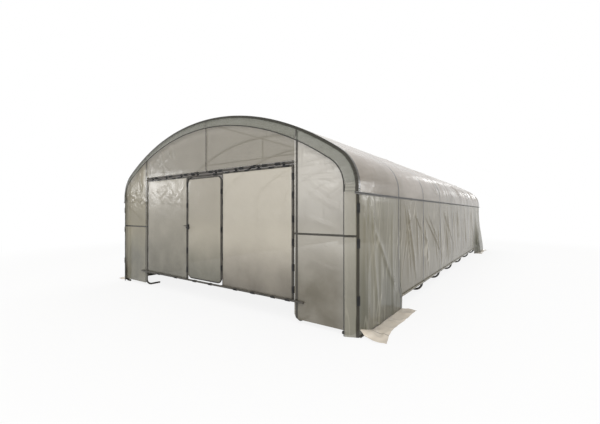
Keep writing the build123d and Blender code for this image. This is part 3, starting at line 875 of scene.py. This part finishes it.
def curtains():
    v = curtainValues
    barLow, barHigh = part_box("roller_bars")
    barZ = (barLow.z + barHigh.z) / 2
    barX = barHigh.x - (barHigh.z - barLow.z) / 2
    baseX = tunnel["halfSpan"] + filmClear + v["offLeg"]
    fullTurns = v["wrapTurns"] * 2 * math.pi
    curtainFilm = filmMaterial("curtainFilm", v["film"])
    for side, word in sides:
        low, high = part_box(f"side_curtain_{word}")
        ys = np.linspace(low.y, high.y, int((high.y - low.y) / v["stepAlong"]))
        zs = np.linspace(high.z, barZ, int((high.z - barZ) / v["stepDown"]))
        y, z = np.meshgrid(ys, zs)
        down = (high.z - z) / (high.z - barZ)
        lines = hungFolds(v, low.y, high.y)
        d = foldLines(y, down, lines) * (1 - (1 - v["farRise"]) * ease(y, -3.0, 1.5))
        d = d + foldLines(y, down, v["main"]) + creased(y / 0.7, z / 0.9, 13 + side) * 0.003
        d = np.minimum(d, v["highest"]) * ease(down, 0.0, 0.02) * ease(z - barZ, 0.0, 0.3)
        d = d * (1 - 0.45 * onHoop(y, 0.16))
        d = d * (0.06 + 0.94 * ease(y - low.y, 0.0, 0.4) * ease(high.y - y, 0.0, 0.4))
        hung = np.stack([side * (baseX + d), y, z], axis=-1)
        wrap = []
        for a in np.linspace(0, fullTurns, 22)[1:]:
            uneven = v["wrapUneven"] * softNoise(ys / 0.3, np.full_like(ys, a), 15 + side)
            radius = v["wrapRadius"] + v["wrapStep"] * a / (2 * math.pi) + uneven
            x = side * (barX - radius * math.cos(a))
            wrap.append(np.stack([x, ys, barZ - radius * math.sin(a)], axis=-1))
        points = np.concatenate([hung, np.array(wrap)])
        piece = gridPiece(f"sideCurtain_{word}", points, curtainFilm, "tunnel")
        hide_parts(f"side_curtain_{word}")


curtains()
print("side curtains")


# fixed sheets of the end bays, wrapped round the corner leg

endValues = {
    "step": 0.02,
    "overlap": 0.035,        # how far it runs on behind the curtain
    "overlapLow": 0.24,      # above this height
    "overlapSoft": 0.12,
    "foot": 0.006,
    "folds": 9,
    "foldRise": 0.014,
    "gathers": 26,
    "gatherRise": 0.005,
    "lean": 0.2,
    "backRise": 0.5,         # share of their height that the back sheets' folds keep
    "bell": 0.17,            # how far the foot of the back sheets swings out
    "frontBell": 0.12,       # share of that in the front
    "highest": 0.19,
    "main": [                # the folds that the front right sheet shows most
        (0.27, 0.16, 0.035, 0.012, -0.2, 1.3),
        (0.05, 1.6, 0.08, 0.018, 0.16, 0.9),
        (0.42, 0.36, 0.04, 0.008, -0.1, 0.9),
        (0.74, 0.62, 0.07, 0.01, 0.3, 1.2),
    ],
    "hoopHalf": 0.018,
    "railHalf": 0.012,
    "film": {
        "low": (0.082, 0.081, 0.057), "high": (0.215, 0.2, 0.15), "lip": (0.003, 0.0265),
        "lipPale": (0.37, 0.355, 0.3), "mottle": 0.5, "long": (1, 1, 0.25), "shine": 0.17, "haze": 0.88,
        # its thin pale lines are painted highlights on the folds
        "paintedHighlights": {"long": (1, 1, 0.13), "size": 3.6, "strength": 0.55, "lean": 0.1},
    },
}


def endSheets():
    v = endValues
    _, _, bend, wrapLength = cornerProfile(np.zeros(1))
    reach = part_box("side_curtain_right")[0].y + v["overlap"] - frontY
    along = np.concatenate([
        np.linspace(-reach, -0.02, int(reach / v["step"])),
        np.linspace(0, bend, 7),
        np.linspace(bend, wrapLength, int(wrapLength / v["step"]) + 8)[1:],
    ])
    zs = np.linspace(lockTop, v["foot"], int(lockTop / v["step"]))
    hoopLines = [("Y", frontY + tunnel["bay"], v["hoopHalf"]), ("Y", backY - tunnel["bay"], v["hoopHalf"])]
    cornerFilm = filmMaterial("cornerFilm", v["film"], hoopLines, [("Z", sideRailZ, v["railHalf"])])
    for side, sideWord in sides:
        for end, way, endWord in ends:
            a, z = np.meshgrid(along, zs)
            down = np.clip((lockLow.z - z) / lockLow.z, 0, 1)
            behind = ease(z, v["overlapLow"], v["overlapLow"] + v["overlapSoft"])
            short = v["overlap"] * (1 - behind) + 0.02 * ease(down, 0.9, 1)
            a = np.where(a < 0, a * (1 - short / reach), a)
            inward = -a                                     # from the end hoop into the tunnel
            lines = v["main"] + hungFolds(v, 0.1, reach)
            seed = 21 + side + 2 * way
            d = foldLines(inward, down, lines) * (v["backRise"] if way > 0 else 1)
            d = d + (1 + softNoise(a / 0.5, z / 0.7, seed)) * 0.005
            if way > 0:
                bell = v["bell"] * ease(down, 0.05, 1.1) * ease(reach - inward, 0.0, 0.7)
            else:
                bell = v["bell"] * v["frontBell"] * ease(down, 0.45, 1.0)
            under = 1 - ease(inward, reach - 0.5, reach - v["overlap"] - 0.02) * behind
            d = np.minimum(d + bell, v["highest"]) * ease(down, 0.0, 0.04) * ease(inward, 0.02, 0.16) * under
            crinkle = softNoise(a / 0.05, z / 0.3, seed + 5) * 0.002
            crinkle = crinkle * ease(a, bend, bend + 0.03) * ease(wrapLength - a, 0, 0.03)
            offset, past, _, _ = cornerProfile(np.clip(a, 0, None))
            x = tunnel["halfSpan"] + np.where(a < 0, filmClear + d, offset + crinkle * 0.4)
            y = np.where(a < 0, a, past + crinkle)
            points = np.stack([side * x, end + way * y, z], axis=-1)
            piece = gridPiece(f"endSheet{endWord}_{sideWord}", points, cornerFilm, "tunnel")
        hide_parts(f"end_sheets_{sideWord}")


endSheets()
print("end sheets")


# gable film

# hung folds are (from x, to x, how many, drop, width, height), crumpled ones (from x, to x, z, its spread,
# how many, height), and single ones (x, z, x, z, half width, height) from end to end
gableValues = {
    "step": 0.025,
    "clear": 0.0228,
    "inset": 0.006,          # inside the hoop's line
    "sideRound": 0.07,
    "backFoot": 0.006,
    "postHalf": 0.017,       # half width of a post, rail and king post through the film
    "railHalf": 0.012,
    "kingHalf": 0.009,
    "rests": {                # what each flat film is fixed to
        "tunnel": ["roundTube_hoop_front", "gable_posts"],
        "back": ["roundTube_hoop_back", "back_posts"],
        "lifting_panel": ["panel_stiles", "panel_rails"],
        "door": ["door_frame"],
    },
    "left": {
        "single": [],
        "hung": [(-2.95, -2.1, 12, 0.7, 0.03, 0.01)],
        "crumpled": [(-2.9, -2.15, 1.92, 0.09, 24, 0.009)],
        "ripple": 0.002,
        "film": {
            "low": (0.155, 0.149, 0.12), "high": (0.31, 0.28, 0.2), "arch": True, "rises": (0.6, 1.8),
            "haze": 0.66, "uneven": 0.25, "paintedGlow": 0.4,
        },
    },
    "right": {
        "single": [
            (2.15, 2.15, 2.75, 1.75, 0.05, 0.008),
            (2.45, 1.75, 2.97, 2.02, 0.03, 0.009),
            (2.1, 1.0, 2.9, 0.75, 0.04, 0.005),
            (2.2, 1.55, 2.8, 1.35, 0.05, 0.008),
            (2.5, 0.86, 2.95, 0.83, 0.02, 0.005),
            (2.2, 1.95, 2.9, 1.55, 0.04, 0.008),
        ],
        "hung": [(2.1, 2.6, 9, 0.4, 0.022, 0.011)],
        "crumpled": [(2.15, 2.6, 2.3, 0.12, 12, 0.007), (2.5, 2.9, 1.85, 0.12, 10, 0.006)],
        "ripple": 0.002,
        "film": {
            "low": (0.122, 0.109, 0.08), "high": (0.65, 0.62, 0.56), "arch": True, "rises": (0.35, 2.2),
            "haze": 0.62, "uneven": 0.1, "paintedGlow": 0.1, "mottle": 0.12,
        },
    },
    "top": {
        "single": [],
        "hung": [(-1.95, -1.1, 18, 0.45, 0.018, 0.011), (-1.0, 1.9, 9, 0.3, 0.025, 0.006)],
        "crumpled": [(-1.9, -1.2, 2.6, 0.1, 12, 0.005)],
        "ripple": 0.002,
        "film": {"low": (0.27, 0.25, 0.203), "high": (0.28, 0.26, 0.212), "arch": True, "haze": 0.68},
    },
    "back": {
        "single": [],
        "hung": [(-2.8, 2.8, 30, 0.6, 0.04, 0.01)],
        "crumpled": [],
        "ripple": 0.006,
        "film": {"low": (0.25, 0.24, 0.2), "high": (0.33, 0.32, 0.27), "arch": True},
    },
}


# Height of the hoop's line over x, moved in by inset
def archTop(x, inset):
    x = np.abs(x)
    turn = (roofRadius - inset) * math.cos(shoulderTurn)
    roof = roofCentre + np.sqrt(np.maximum((roofRadius - inset) ** 2 - x**2, 0))
    inner = np.maximum((tunnel["shoulderRadius"] - inset) ** 2 - np.maximum(x - shoulderX, 0) ** 2, 0)
    shoulder = tunnel["legTop"] + np.sqrt(inner)
    return np.where(x <= turn, roof, shoulder)


# A flat film over span, from low up to top, either of them a height or a function of x.
# face is its y and the way it looks.
def filmPanel(name, span, low, top, face, material, node, folds, body="tunnel", ripple=0.002):
    x0, x1 = span
    y, way = face
    step = gableValues["step"]
    xs = np.linspace(x0, x1, max(int(abs(x1 - x0) / step), 8))
    tops = top(xs) if callable(top) else np.full_like(xs, top)
    lows = low(xs) if callable(low) else np.full_like(xs, low)
    rows = max(int((tops.max() - lows.min()) / step), 8)
    k = np.linspace(0, 1, rows)[:, None]
    x = np.repeat(xs[None, :], rows, axis=0)
    z = lows[None, :] + (tops - lows)[None, :] * k
    d = (1 + softNoise((x + 0.4 * z) / 0.6, z / 0.8, len(name))) * ripple
    for ax, az, bx, bz, width, rise in folds:
        length = math.hypot(bx - ax, bz - az)
        dx, dz = (bx - ax) / length, (bz - az) / length
        along = (x - ax) * dx + (z - az) * dz
        off = (x - ax) * dz - (z - az) * dx
        shape = ridge(off, np.where(off > 0, width, width * 0.5)) * ease(along, 0, 0.3 * length)
        d = d + rise * (shape * (1 - ease(along, 0.6 * length, length)))
    edge = ease(x - min(x0, x1), 0, 0.05) * ease(max(x0, x1) - x, 0, 0.05)
    edge = edge * ease(z - lows[None, :], 0, 0.05) * ease(tops[None, :] - z, 0, 0.05)
    points = np.stack([x, y + way * d * edge, z], axis=-1)
    piece = gridPiece(name, points, material, body)
    if node:
        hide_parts(node)


# Wrinkles that hang from the hoop into a gable film
def hangingFolds(x0, x1, count, drop, width, rise):
    folds = []
    for _ in range(count):
        x = rng.uniform(x0, x1)
        z = float(archTop(np.array([x]), 0.02)[0])
        endX, endZ = x + rng.normal(0.05, 0.08), z - drop * rng.uniform(0.5, 1.3)
        folds.append((x, z + 0.05, endX, endZ, width * rng.uniform(0.6, 1.4), rise * rng.uniform(0.4, 1)))
    return folds


# Short creases that lie every way round a height
def crumple(x0, x1, z, spreadZ, count, rise):
    folds = []
    for _ in range(count):
        cx, cz = rng.uniform(x0, x1), rng.normal(z, spreadZ)
        turn = rng.normal(0.3, 0.6)
        long = rng.uniform(0.12, 0.4)
        endX, endZ = cx + long * math.cos(turn), cz - long * math.sin(turn)
        folds.append((cx, cz, endX, endZ, rng.uniform(0.012, 0.03), rise * rng.uniform(0.5, 1)))
    return folds


def gables():
    v = gableValues
    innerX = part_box("gable_top_film")[1].x
    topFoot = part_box("gable_top_film")[0].z
    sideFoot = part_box("gable_side_films")[0].z
    reach = tunnel["halfSpan"] - v["inset"]

    def top(xs):
        return archTop(xs, v["inset"])

    # the free lower corner is rounded
    def sideEdge(xs):
        into = np.clip(v["sideRound"] - (np.abs(xs) - innerX), 0, v["sideRound"])
        return sideFoot + v["sideRound"] - np.sqrt(v["sideRound"] ** 2 - into**2)

    tubes = [("X", postX, v["postHalf"]), ("X", -postX, v["postHalf"]), ("Z", sideRailZ, v["railHalf"])]
    king = [("X", 0.0, v["kingHalf"])]
    front = (frontY - v["clear"], -1)
    back = (backY + v["clear"], 1)
    films = [                 # piece, its values, material, node, from x, to x, foot, lines, face
        ("gableFilmLeft", "left", "gableLeftFilm", "gable_side_films", -reach, -innerX, sideEdge, tubes, front),
        ("gableFilmRight", "right", "gableRightFilm", None, innerX, reach, sideEdge, tubes, front),
        ("gableFilmTop", "top", "gableTopFilm", "gable_top_film", -innerX, innerX, topFoot, king, front),
        ("backGableFilm", "back", "backGableFilm", "back_film", -reach, reach, v["backFoot"], tubes, back),
    ]
    for name, part, materialName, node, x0, x1, foot, lines, face in films:
        values = v[part]
        folds = list(values["single"])
        for hung in values["hung"]:
            folds += hangingFolds(*hung)
        for crumpled in values["crumpled"]:
            folds += crumple(*crumpled)
        film = filmMaterial(materialName, values["film"], lines)
        filmPanel(name, (x0, x1), foot, top, face, film, node, folds, ripple=values["ripple"])


gables()
print("gable film")


# lifting panel and door film

panelValues = {
    "tube": 0.017,           # radius of its tubes
    "leafTube": 0.015,       # and of the door's
    "shown": 0.7,            # share of a tube's radius that shows through the film
    "leafShown": 0.01,
    "halfFilm": 0.0015,      # half the solid film's thickness
    "pastLeftPost": 0.008,   # how far the left film runs over its door post
    "onRightPost": 0.0005,
    "leafInset": 0.001,
    "leafRound": 0.1,
    "crumpleInset": 0.1,
    "crumpleDown": 0.28,     # below the top rail
    "crumpleSpread": 0.09,
    "crumples": 34,
    "crumpleRise": 0.0056,
    "calm": [                # the few folds of the right film, the first of them also on the door
        (0.5, 2.2, 0.95, 1.85, 0.03, 0.003),
        (1.0, 1.9, 1.9, 1.2, 0.08, 0.0018),
        (0.85, 0.93, 1.93, 0.99, 0.012, 0.003),
    ],
    "leftFilm": {
        "low": (0.11, 0.105, 0.082), "high": (0.43, 0.4, 0.335), "rises": (0.1, 2.35), "mottle": 0.15,
        "uneven": 0.25, "haze": 0.72,
    },
    "rightFilm": {
        "low": (0.11, 0.096, 0.074), "high": (0.55, 0.51, 0.43), "rises": (0.2, 1.65), "mottle": 0.12,
        "uneven": 0.1, "haze": 0.72,
    },
    "leafFilm": {
        "low": (0.098, 0.096, 0.072), "high": (0.385, 0.355, 0.29), "rises": (0.3, 1.5), "mottle": 0.15,
        "uneven": 0.25, "haze": 0.72,
    },
}


def panelFilms():
    v = panelValues
    tube, leafTube = v["tube"], v["leafTube"]
    low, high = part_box("panel_films")
    doorLow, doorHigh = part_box("door_film")
    postLow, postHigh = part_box("door_posts")
    leafLow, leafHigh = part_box("door_frame")
    stileLow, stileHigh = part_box("panel_stiles")
    railLow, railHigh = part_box("panel_rails")
    face = (high.y - v["halfFilm"], -1)
    uprights = [stileLow.x + tube, postLow.x + tube, postHigh.x - tube, stileHigh.x - tube]
    lines = [("X", x, tube * v["shown"]) for x in uprights]
    lines += [("Z", z, tube * v["shown"]) for z in (railHigh.z - tube, railLow.z + tube)]
    leafLines = [("X", x, v["leafShown"]) for x in (leafLow.x + leafTube, leafHigh.x - leafTube)]
    leafLines += [("Z", z, v["leafShown"]) for z in (leafLow.z + leafTube, leafHigh.z - leafTube)]
    leftFilm = filmMaterial("panelLeftFilm", v["leftFilm"], lines)
    rightFilm = filmMaterial("panelRightFilm", v["rightFilm"], lines)
    leafFilm = filmMaterial("doorFilm", v["leafFilm"], leafLines)
    leftX, rightX = postLow.x + tube + v["pastLeftPost"], postHigh.x - tube - v["onRightPost"]
    foot = middleOf("panel_bottom_bar")[2]
    wrinkles = crumple(
        low.x + v["crumpleInset"], leftX - v["crumpleInset"], high.z - v["crumpleDown"], v["crumpleSpread"],
        v["crumples"], v["crumpleRise"],
    )
    body = "lifting_panel"
    filmPanel("panelFilmLeft", (low.x, leftX), foot, high.z, face, leftFilm, "panel_films", wrinkles, body)
    filmPanel("panelFilmRight", (rightX, high.x), foot, high.z, face, rightFilm, None, v["calm"], body)
    corner, left, right = v["leafRound"], doorLow.x, doorHigh.x

    def leafTop(xs):
        edge = np.clip(np.minimum(xs - left, right - xs), 0, corner)
        return doorHigh.z - corner + np.sqrt(np.maximum(corner**2 - (corner - edge) ** 2, 0))

    def leafFoot(xs):
        return doorLow.z + doorHigh.z - leafTop(xs)

    span = (left + v["leafInset"], right - v["leafInset"])
    filmPanel("doorFilm", span, leafFoot, leafTop, face, leafFilm, "door_film", v["calm"][:1], "door")


panelFilms()
print("panel and door film")


# ground skirts

skirtValues = {
    "edge": [(0.04, 0.10), (-0.02, 0.18), (0.0, 0.35), (0.27, 0.28), (0.54, 0.25), (1.58, 0.27)],
    "offLeg": 0.0248,        # from the leg's line to the wall
    "columns": 84,
    "rows": 18,
    "fold": 0.016,
    "rise": 0.1,             # up the wall at the corner
    "riseReach": 0.45,
    "flat": (1.62, 0.37),
    "leastArea": 0.3,        # share of flat
    "film": {"low": (0.64, 0.57, 0.475), "high": (0.68, 0.6, 0.5), "long": (1, 0.4, 1), "lowHaze": 0.93},
    "line": (0.27, 0.003),   # a painted shadow line across it, under a fold: from the corner, half width
}


def groundSkirts():
    v = skirtValues
    wall = tunnel["halfSpan"] + v["offLeg"]
    foldShadowAt, foldShadowHalf = v["line"]
    # Painted shadow: a dark line across the skirt where a fold would shade it, drawn in the tube lines' colour
    skirtFilm = filmMaterial("skirtFilm", v["film"], [("Y", frontY + foldShadowAt, foldShadowHalf)])
    edge = np.array(v["edge"])
    inner = np.linspace(0, v["edge"][-1][0], v["columns"])
    lengths = np.concatenate([[0], np.cumsum(np.linalg.norm(np.diff(edge, axis=0), axis=1))])
    at = np.linspace(0, lengths[-1], v["columns"])
    k = np.linspace(0, 1, v["rows"])[:, None]
    a = inner[None, :] * (1 - k) + np.interp(at, lengths, edge[:, 0])[None, :] * k
    out = np.interp(at, lengths, edge[:, 1])[None, :] * k
    for side, sideWord in sides:
        for end, way, endWord in ends:
            seed = 61 + side - 2 * way
            z = creased(a / 0.16 + out * 3, out / 0.2, seed) * v["fold"] * ease(k, 0.1, 0.5)
            z = z + 0.6 * creased(a / 0.5, out / 0.1, seed + 1) * v["fold"] * ease(k, 0.3, 0.9) + 0.001
            z = z + v["rise"] * (1 - ease(a, 0.0, v["riseReach"])) * (1 - ease(k, 0.0, 0.75))
            points = np.stack([side * (wall + out), end - way * a, z], axis=-1)
            piece = gridPiece(f"groundSkirt{endWord}_{sideWord}", points, skirtFilm, "tunnel")
    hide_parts("ground_skirts")


groundSkirts()
print("ground skirts")


# lock wire

wireValues = {
    "left": -frontY,
    "right": lockHigh.y - 0.02,
    "inset": 0.006,
    "pitch": 0.075,
    "swing": 0.0105,
    "radius": 0.0016,
    "sides": 6,
}


def lockWires():
    v = wireValues
    for side, word in sides:
        x = side * (lockHigh.x - v["inset"])
        ys = np.arange(-v[word], v[word], v["pitch"] / 6)
        phase = (ys / v["pitch"]) % 1
        zig = np.clip(np.abs(phase * 2 - 1) * 2 - 1, -0.8, 0.8) / 0.8
        z = (lockLow.z + lockHigh.z) / 2 + zig * v["swing"]
        path = np.stack([np.full_like(ys, x), ys, z], axis=-1)
        tubePiece(f"lockWire_{word}", path, v["radius"], v["sides"], railPaint, "tunnel")


lockWires()
print("lock wire")


# clips

clipValues = {
    "wall": 0.0034,
    "inside": 0.0015,        # between a tube and its clip
    "mouth": 1.9,            # radians that it is open
    "flare": 1.16,
    "end": 0.003,            # length of its narrowed ends
    "steps": 22,
    "corner": (0.0238, 0.12, 2.45),                         # tube, length, mouth
    "cornerHeights": (0.47, 1.2, 1.65),
    "upright": (0.0195, 0.1),                               # tube, length
    "stileHeights": (0.47, 0.79, 1.16, 1.5, 1.85, 2.12),
    "leftHeights": (0.87, 1.73, 2.14, 0.5),
    "rightHeights": (0.83, 1.52, 1.78, 2.1),
    "level": [               # name, node, way its mouth faces, tube, length, body, places along it
        ("headClip", "gable_header", (0, 1, 0), 0.0165, 0.1, "tunnel",
         (-1.66, -1.14, -0.62, -0.4, 0.12, 0.38, 0.9, 1.16, 1.42, 1.68)),
        ("railClip", "panel_rails", (0, 1, 0), 0.0175, 0.1, "lifting_panel",
         (-1.54, -1.02, -0.84, 0.24, 0.56, 0.78, 1.04, 1.3, 1.56, 1.86)),
        ("barClip", "panel_bottom_bar", (0, 0, 1), 0.0185, 0.08, "lifting_panel",
         (-1.5, -0.9, -0.3, 0.15, 0.8, 1.2, 1.62, 1.9)),
    ],
}


# A sprung sleeve round a tube. axis is along the tube, opening is the way its mouth faces.
def clipPiece(name, place, axis, opening, tube, length, body, mouth=clipValues["mouth"]):
    v = clipValues
    axis, opening = Vector(axis).normalized(), Vector(opening).normalized()
    side = axis.cross(opening)
    inner, outer = tube + v["inside"], tube + v["inside"] + v["wall"]
    angles = np.linspace(mouth / 2, 2 * math.pi - mouth / 2, v["steps"])
    profile = [(outer * math.cos(a), outer * math.sin(a)) for a in angles]
    profile.append((outer * v["flare"] * math.cos(angles[-1]), outer * v["flare"] * math.sin(angles[-1])))
    profile += [(inner * math.cos(a), inner * math.sin(a)) for a in reversed(angles)]
    bm = bmesh.new()
    rings = []
    for along in (-length / 2, -length / 2 + v["end"], length / 2 - v["end"], length / 2):
        inset = 0.9 if abs(along) == length / 2 else 1.0
        ring = []
        for a, b in profile:
            radial = math.hypot(a, b)
            scale = 1 if radial < outer - 1e-6 else (inner + (radial - inner) * inset) / radial
            point = Vector(place) + axis * along + opening * (a * scale) + side * (b * scale)
            ring.append(bm.verts.new(point))
        rings.append(ring)
    joinRings(bm, rings)
    bm.faces.new(rings[0])
    bm.faces.new(list(reversed(rings[-1])))
    solidPiece(name, bm, blackPlastic, body)


def makeClips():
    v = clipValues
    tube, length, mouth = v["corner"]
    for side, word in sides:
        for i, z in enumerate(v["cornerHeights"]):
            place = (side * tunnel["halfSpan"], frontY, z)
            name = f"cornerClip_{word}_{i}"
            clipPiece(name, place, (0, 0, 1), (-side, -0.32, 0), tube, length, "tunnel", mouth)
    stileLow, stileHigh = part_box("panel_stiles")
    postLow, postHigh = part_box("door_posts")
    radius = panelValues["tube"]
    panelY = stileHigh.y - radius
    uprights = [
        ("stileClip_0", stileLow.x + radius, v["stileHeights"]),
        ("stileClip_1", stileHigh.x - radius, v["stileHeights"]),
        ("postClipLeft", postLow.x + radius, v["leftHeights"]),
        ("postClipRight", postHigh.x - radius, v["rightHeights"]),
    ]
    for name, x, heights in uprights:
        for i, z in enumerate(heights):
            clipPiece(f"{name}_{i}", (x, panelY, z), (0, 0, 1), (0, 1, 0), *v["upright"], "lifting_panel")
    for name, node, opening, tube, length, body, places in v["level"]:
        _, y, z = middleOf(node)
        for i, x in enumerate(places):
            clipPiece(f"{name}_{i}", (x, y, z), (1, 0, 0), opening, tube, length, body)


makeClips()
print("clips")


# connectors where the tubes meet

jointValues = {
    "wall": 0.003,
    "chamfer": 0.0008,
    "inside": 0.001,         # between a tube and its sleeve
    "length": 0.058,
    "sides": 20,
    "boltSize": 0.0065,      # half width of its head
    "boltOut": 0.016,
    "boltHead": 0.005,
    "earHalf": 0.006,
    "fromLeg": 0.06,
    "overHeader": 0.04,
}


# A pressed sleeve round a tube, with an ear and a bolt on the side that out points to
def jointPiece(name, place, axis, out, tube):
    v = jointValues
    axis, out = Vector(axis).normalized(), Vector(out).normalized()
    side = axis.cross(out)
    bm = bmesh.new()
    rings = []
    edge = v["wall"] - v["chamfer"]
    half = [(-0.5, v["inside"]), (-0.5, edge), (-0.47, v["wall"])]
    for along, thick in half + [(-along, thick) for along, thick in reversed(half)]:
        ring = []
        for i in range(v["sides"]):
            angle = 2 * math.pi * i / v["sides"]
            radius = tube + thick
            if abs(math.sin(angle)) < 0.32 and math.cos(angle) > 0:
                radius += v["boltOut"] * (0.55 if thick < v["wall"] else 0.7)     # the ear
            spot = out * (radius * math.cos(angle)) + side * (radius * math.sin(angle))
            ring.append(bm.verts.new(Vector(place) + axis * (v["length"] * along) + spot))
        rings.append(ring)
    joinRings(bm, rings)
    for way in (-1, 1):
        middle = Vector(place) + out * (tube + v["boltOut"] * 0.55) + side * (way * v["earHalf"])
        low, high = [], []
        for i in range(6):
            angle = math.pi * i / 3
            spot = axis * (v["boltSize"] * math.cos(angle)) + out * (v["boltSize"] * math.sin(angle))
            low.append(bm.verts.new(middle + spot))
            high.append(bm.verts.new(middle + spot * 0.92 + side * (way * v["boltHead"])))
        joinRings(bm, [low, high])
        bm.faces.new(high)
    solidPiece(name, bm, jointSteel, "tunnel")


def makeJoints():
    v = jointValues
    post, rail = tunnel["postRadius"], tunnel["railRadius"]
    for end, way, word in ends:
        for side, sideWord in sides:
            name = f"{word}_{sideWord}"
            inward = (0, -way, 0)
            jointPiece(f"railOnPost{name}", (side * postX, end, sideRailZ), (0, 0, 1), inward, post)
            if end == frontY:
                legEnd = (side * (tunnel["halfSpan"] - v["fromLeg"]), end, sideRailZ)
                jointPiece(f"railOnLeg{name}", legEnd, (1, 0, 0), inward, rail)
    tieZ = middleOf("collar_ties")[2]
    for i in range(1, tunnel["bays"]):
        jointPiece(f"kingOnTie_{i}", (0, frontY + i * tunnel["bay"], tieZ), (1, 0, 0), (0, 0, -1), rail)
    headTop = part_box("gable_header")[1].z
    for side, sideWord in sides:
        place = (side * postX, frontY, headTop + v["overHeader"])
        jointPiece(f"headerOnPost_{sideWord}", place, (0, 0, 1), (0, 1, 0), post)


makeJoints()
print("connectors")


# finishes of the frame's own pieces

finishes = {
    "tubePaint": (tubePaint, [
        "ridge_purlin", "collar_ties", "king_posts", "wind_braces", "gable_posts", "back_posts",
        "gable_side_rails", "back_rails", "gable_header", "gable_king_posts", "hem_rails", "panel_stiles",
        "panel_rails", "panel_bottom_bar", "door_posts", "door_frame", "roller_bars",
    ]),
    "rail": (railPaint, ["lock_rails"]),
    "plastic": (blackPlastic, [
        "purlin_clamps", "bar_clamps", "panel_straps", "door_latch", "door_hinge_pins", "door_hinge_barrels",
    ]),
}


def finishNodes():
    for material, nodes in finishes.values():
        for node in nodes:
            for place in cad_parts[node].material_slots:
                place.material = material


finishNodes()
print("finishes")
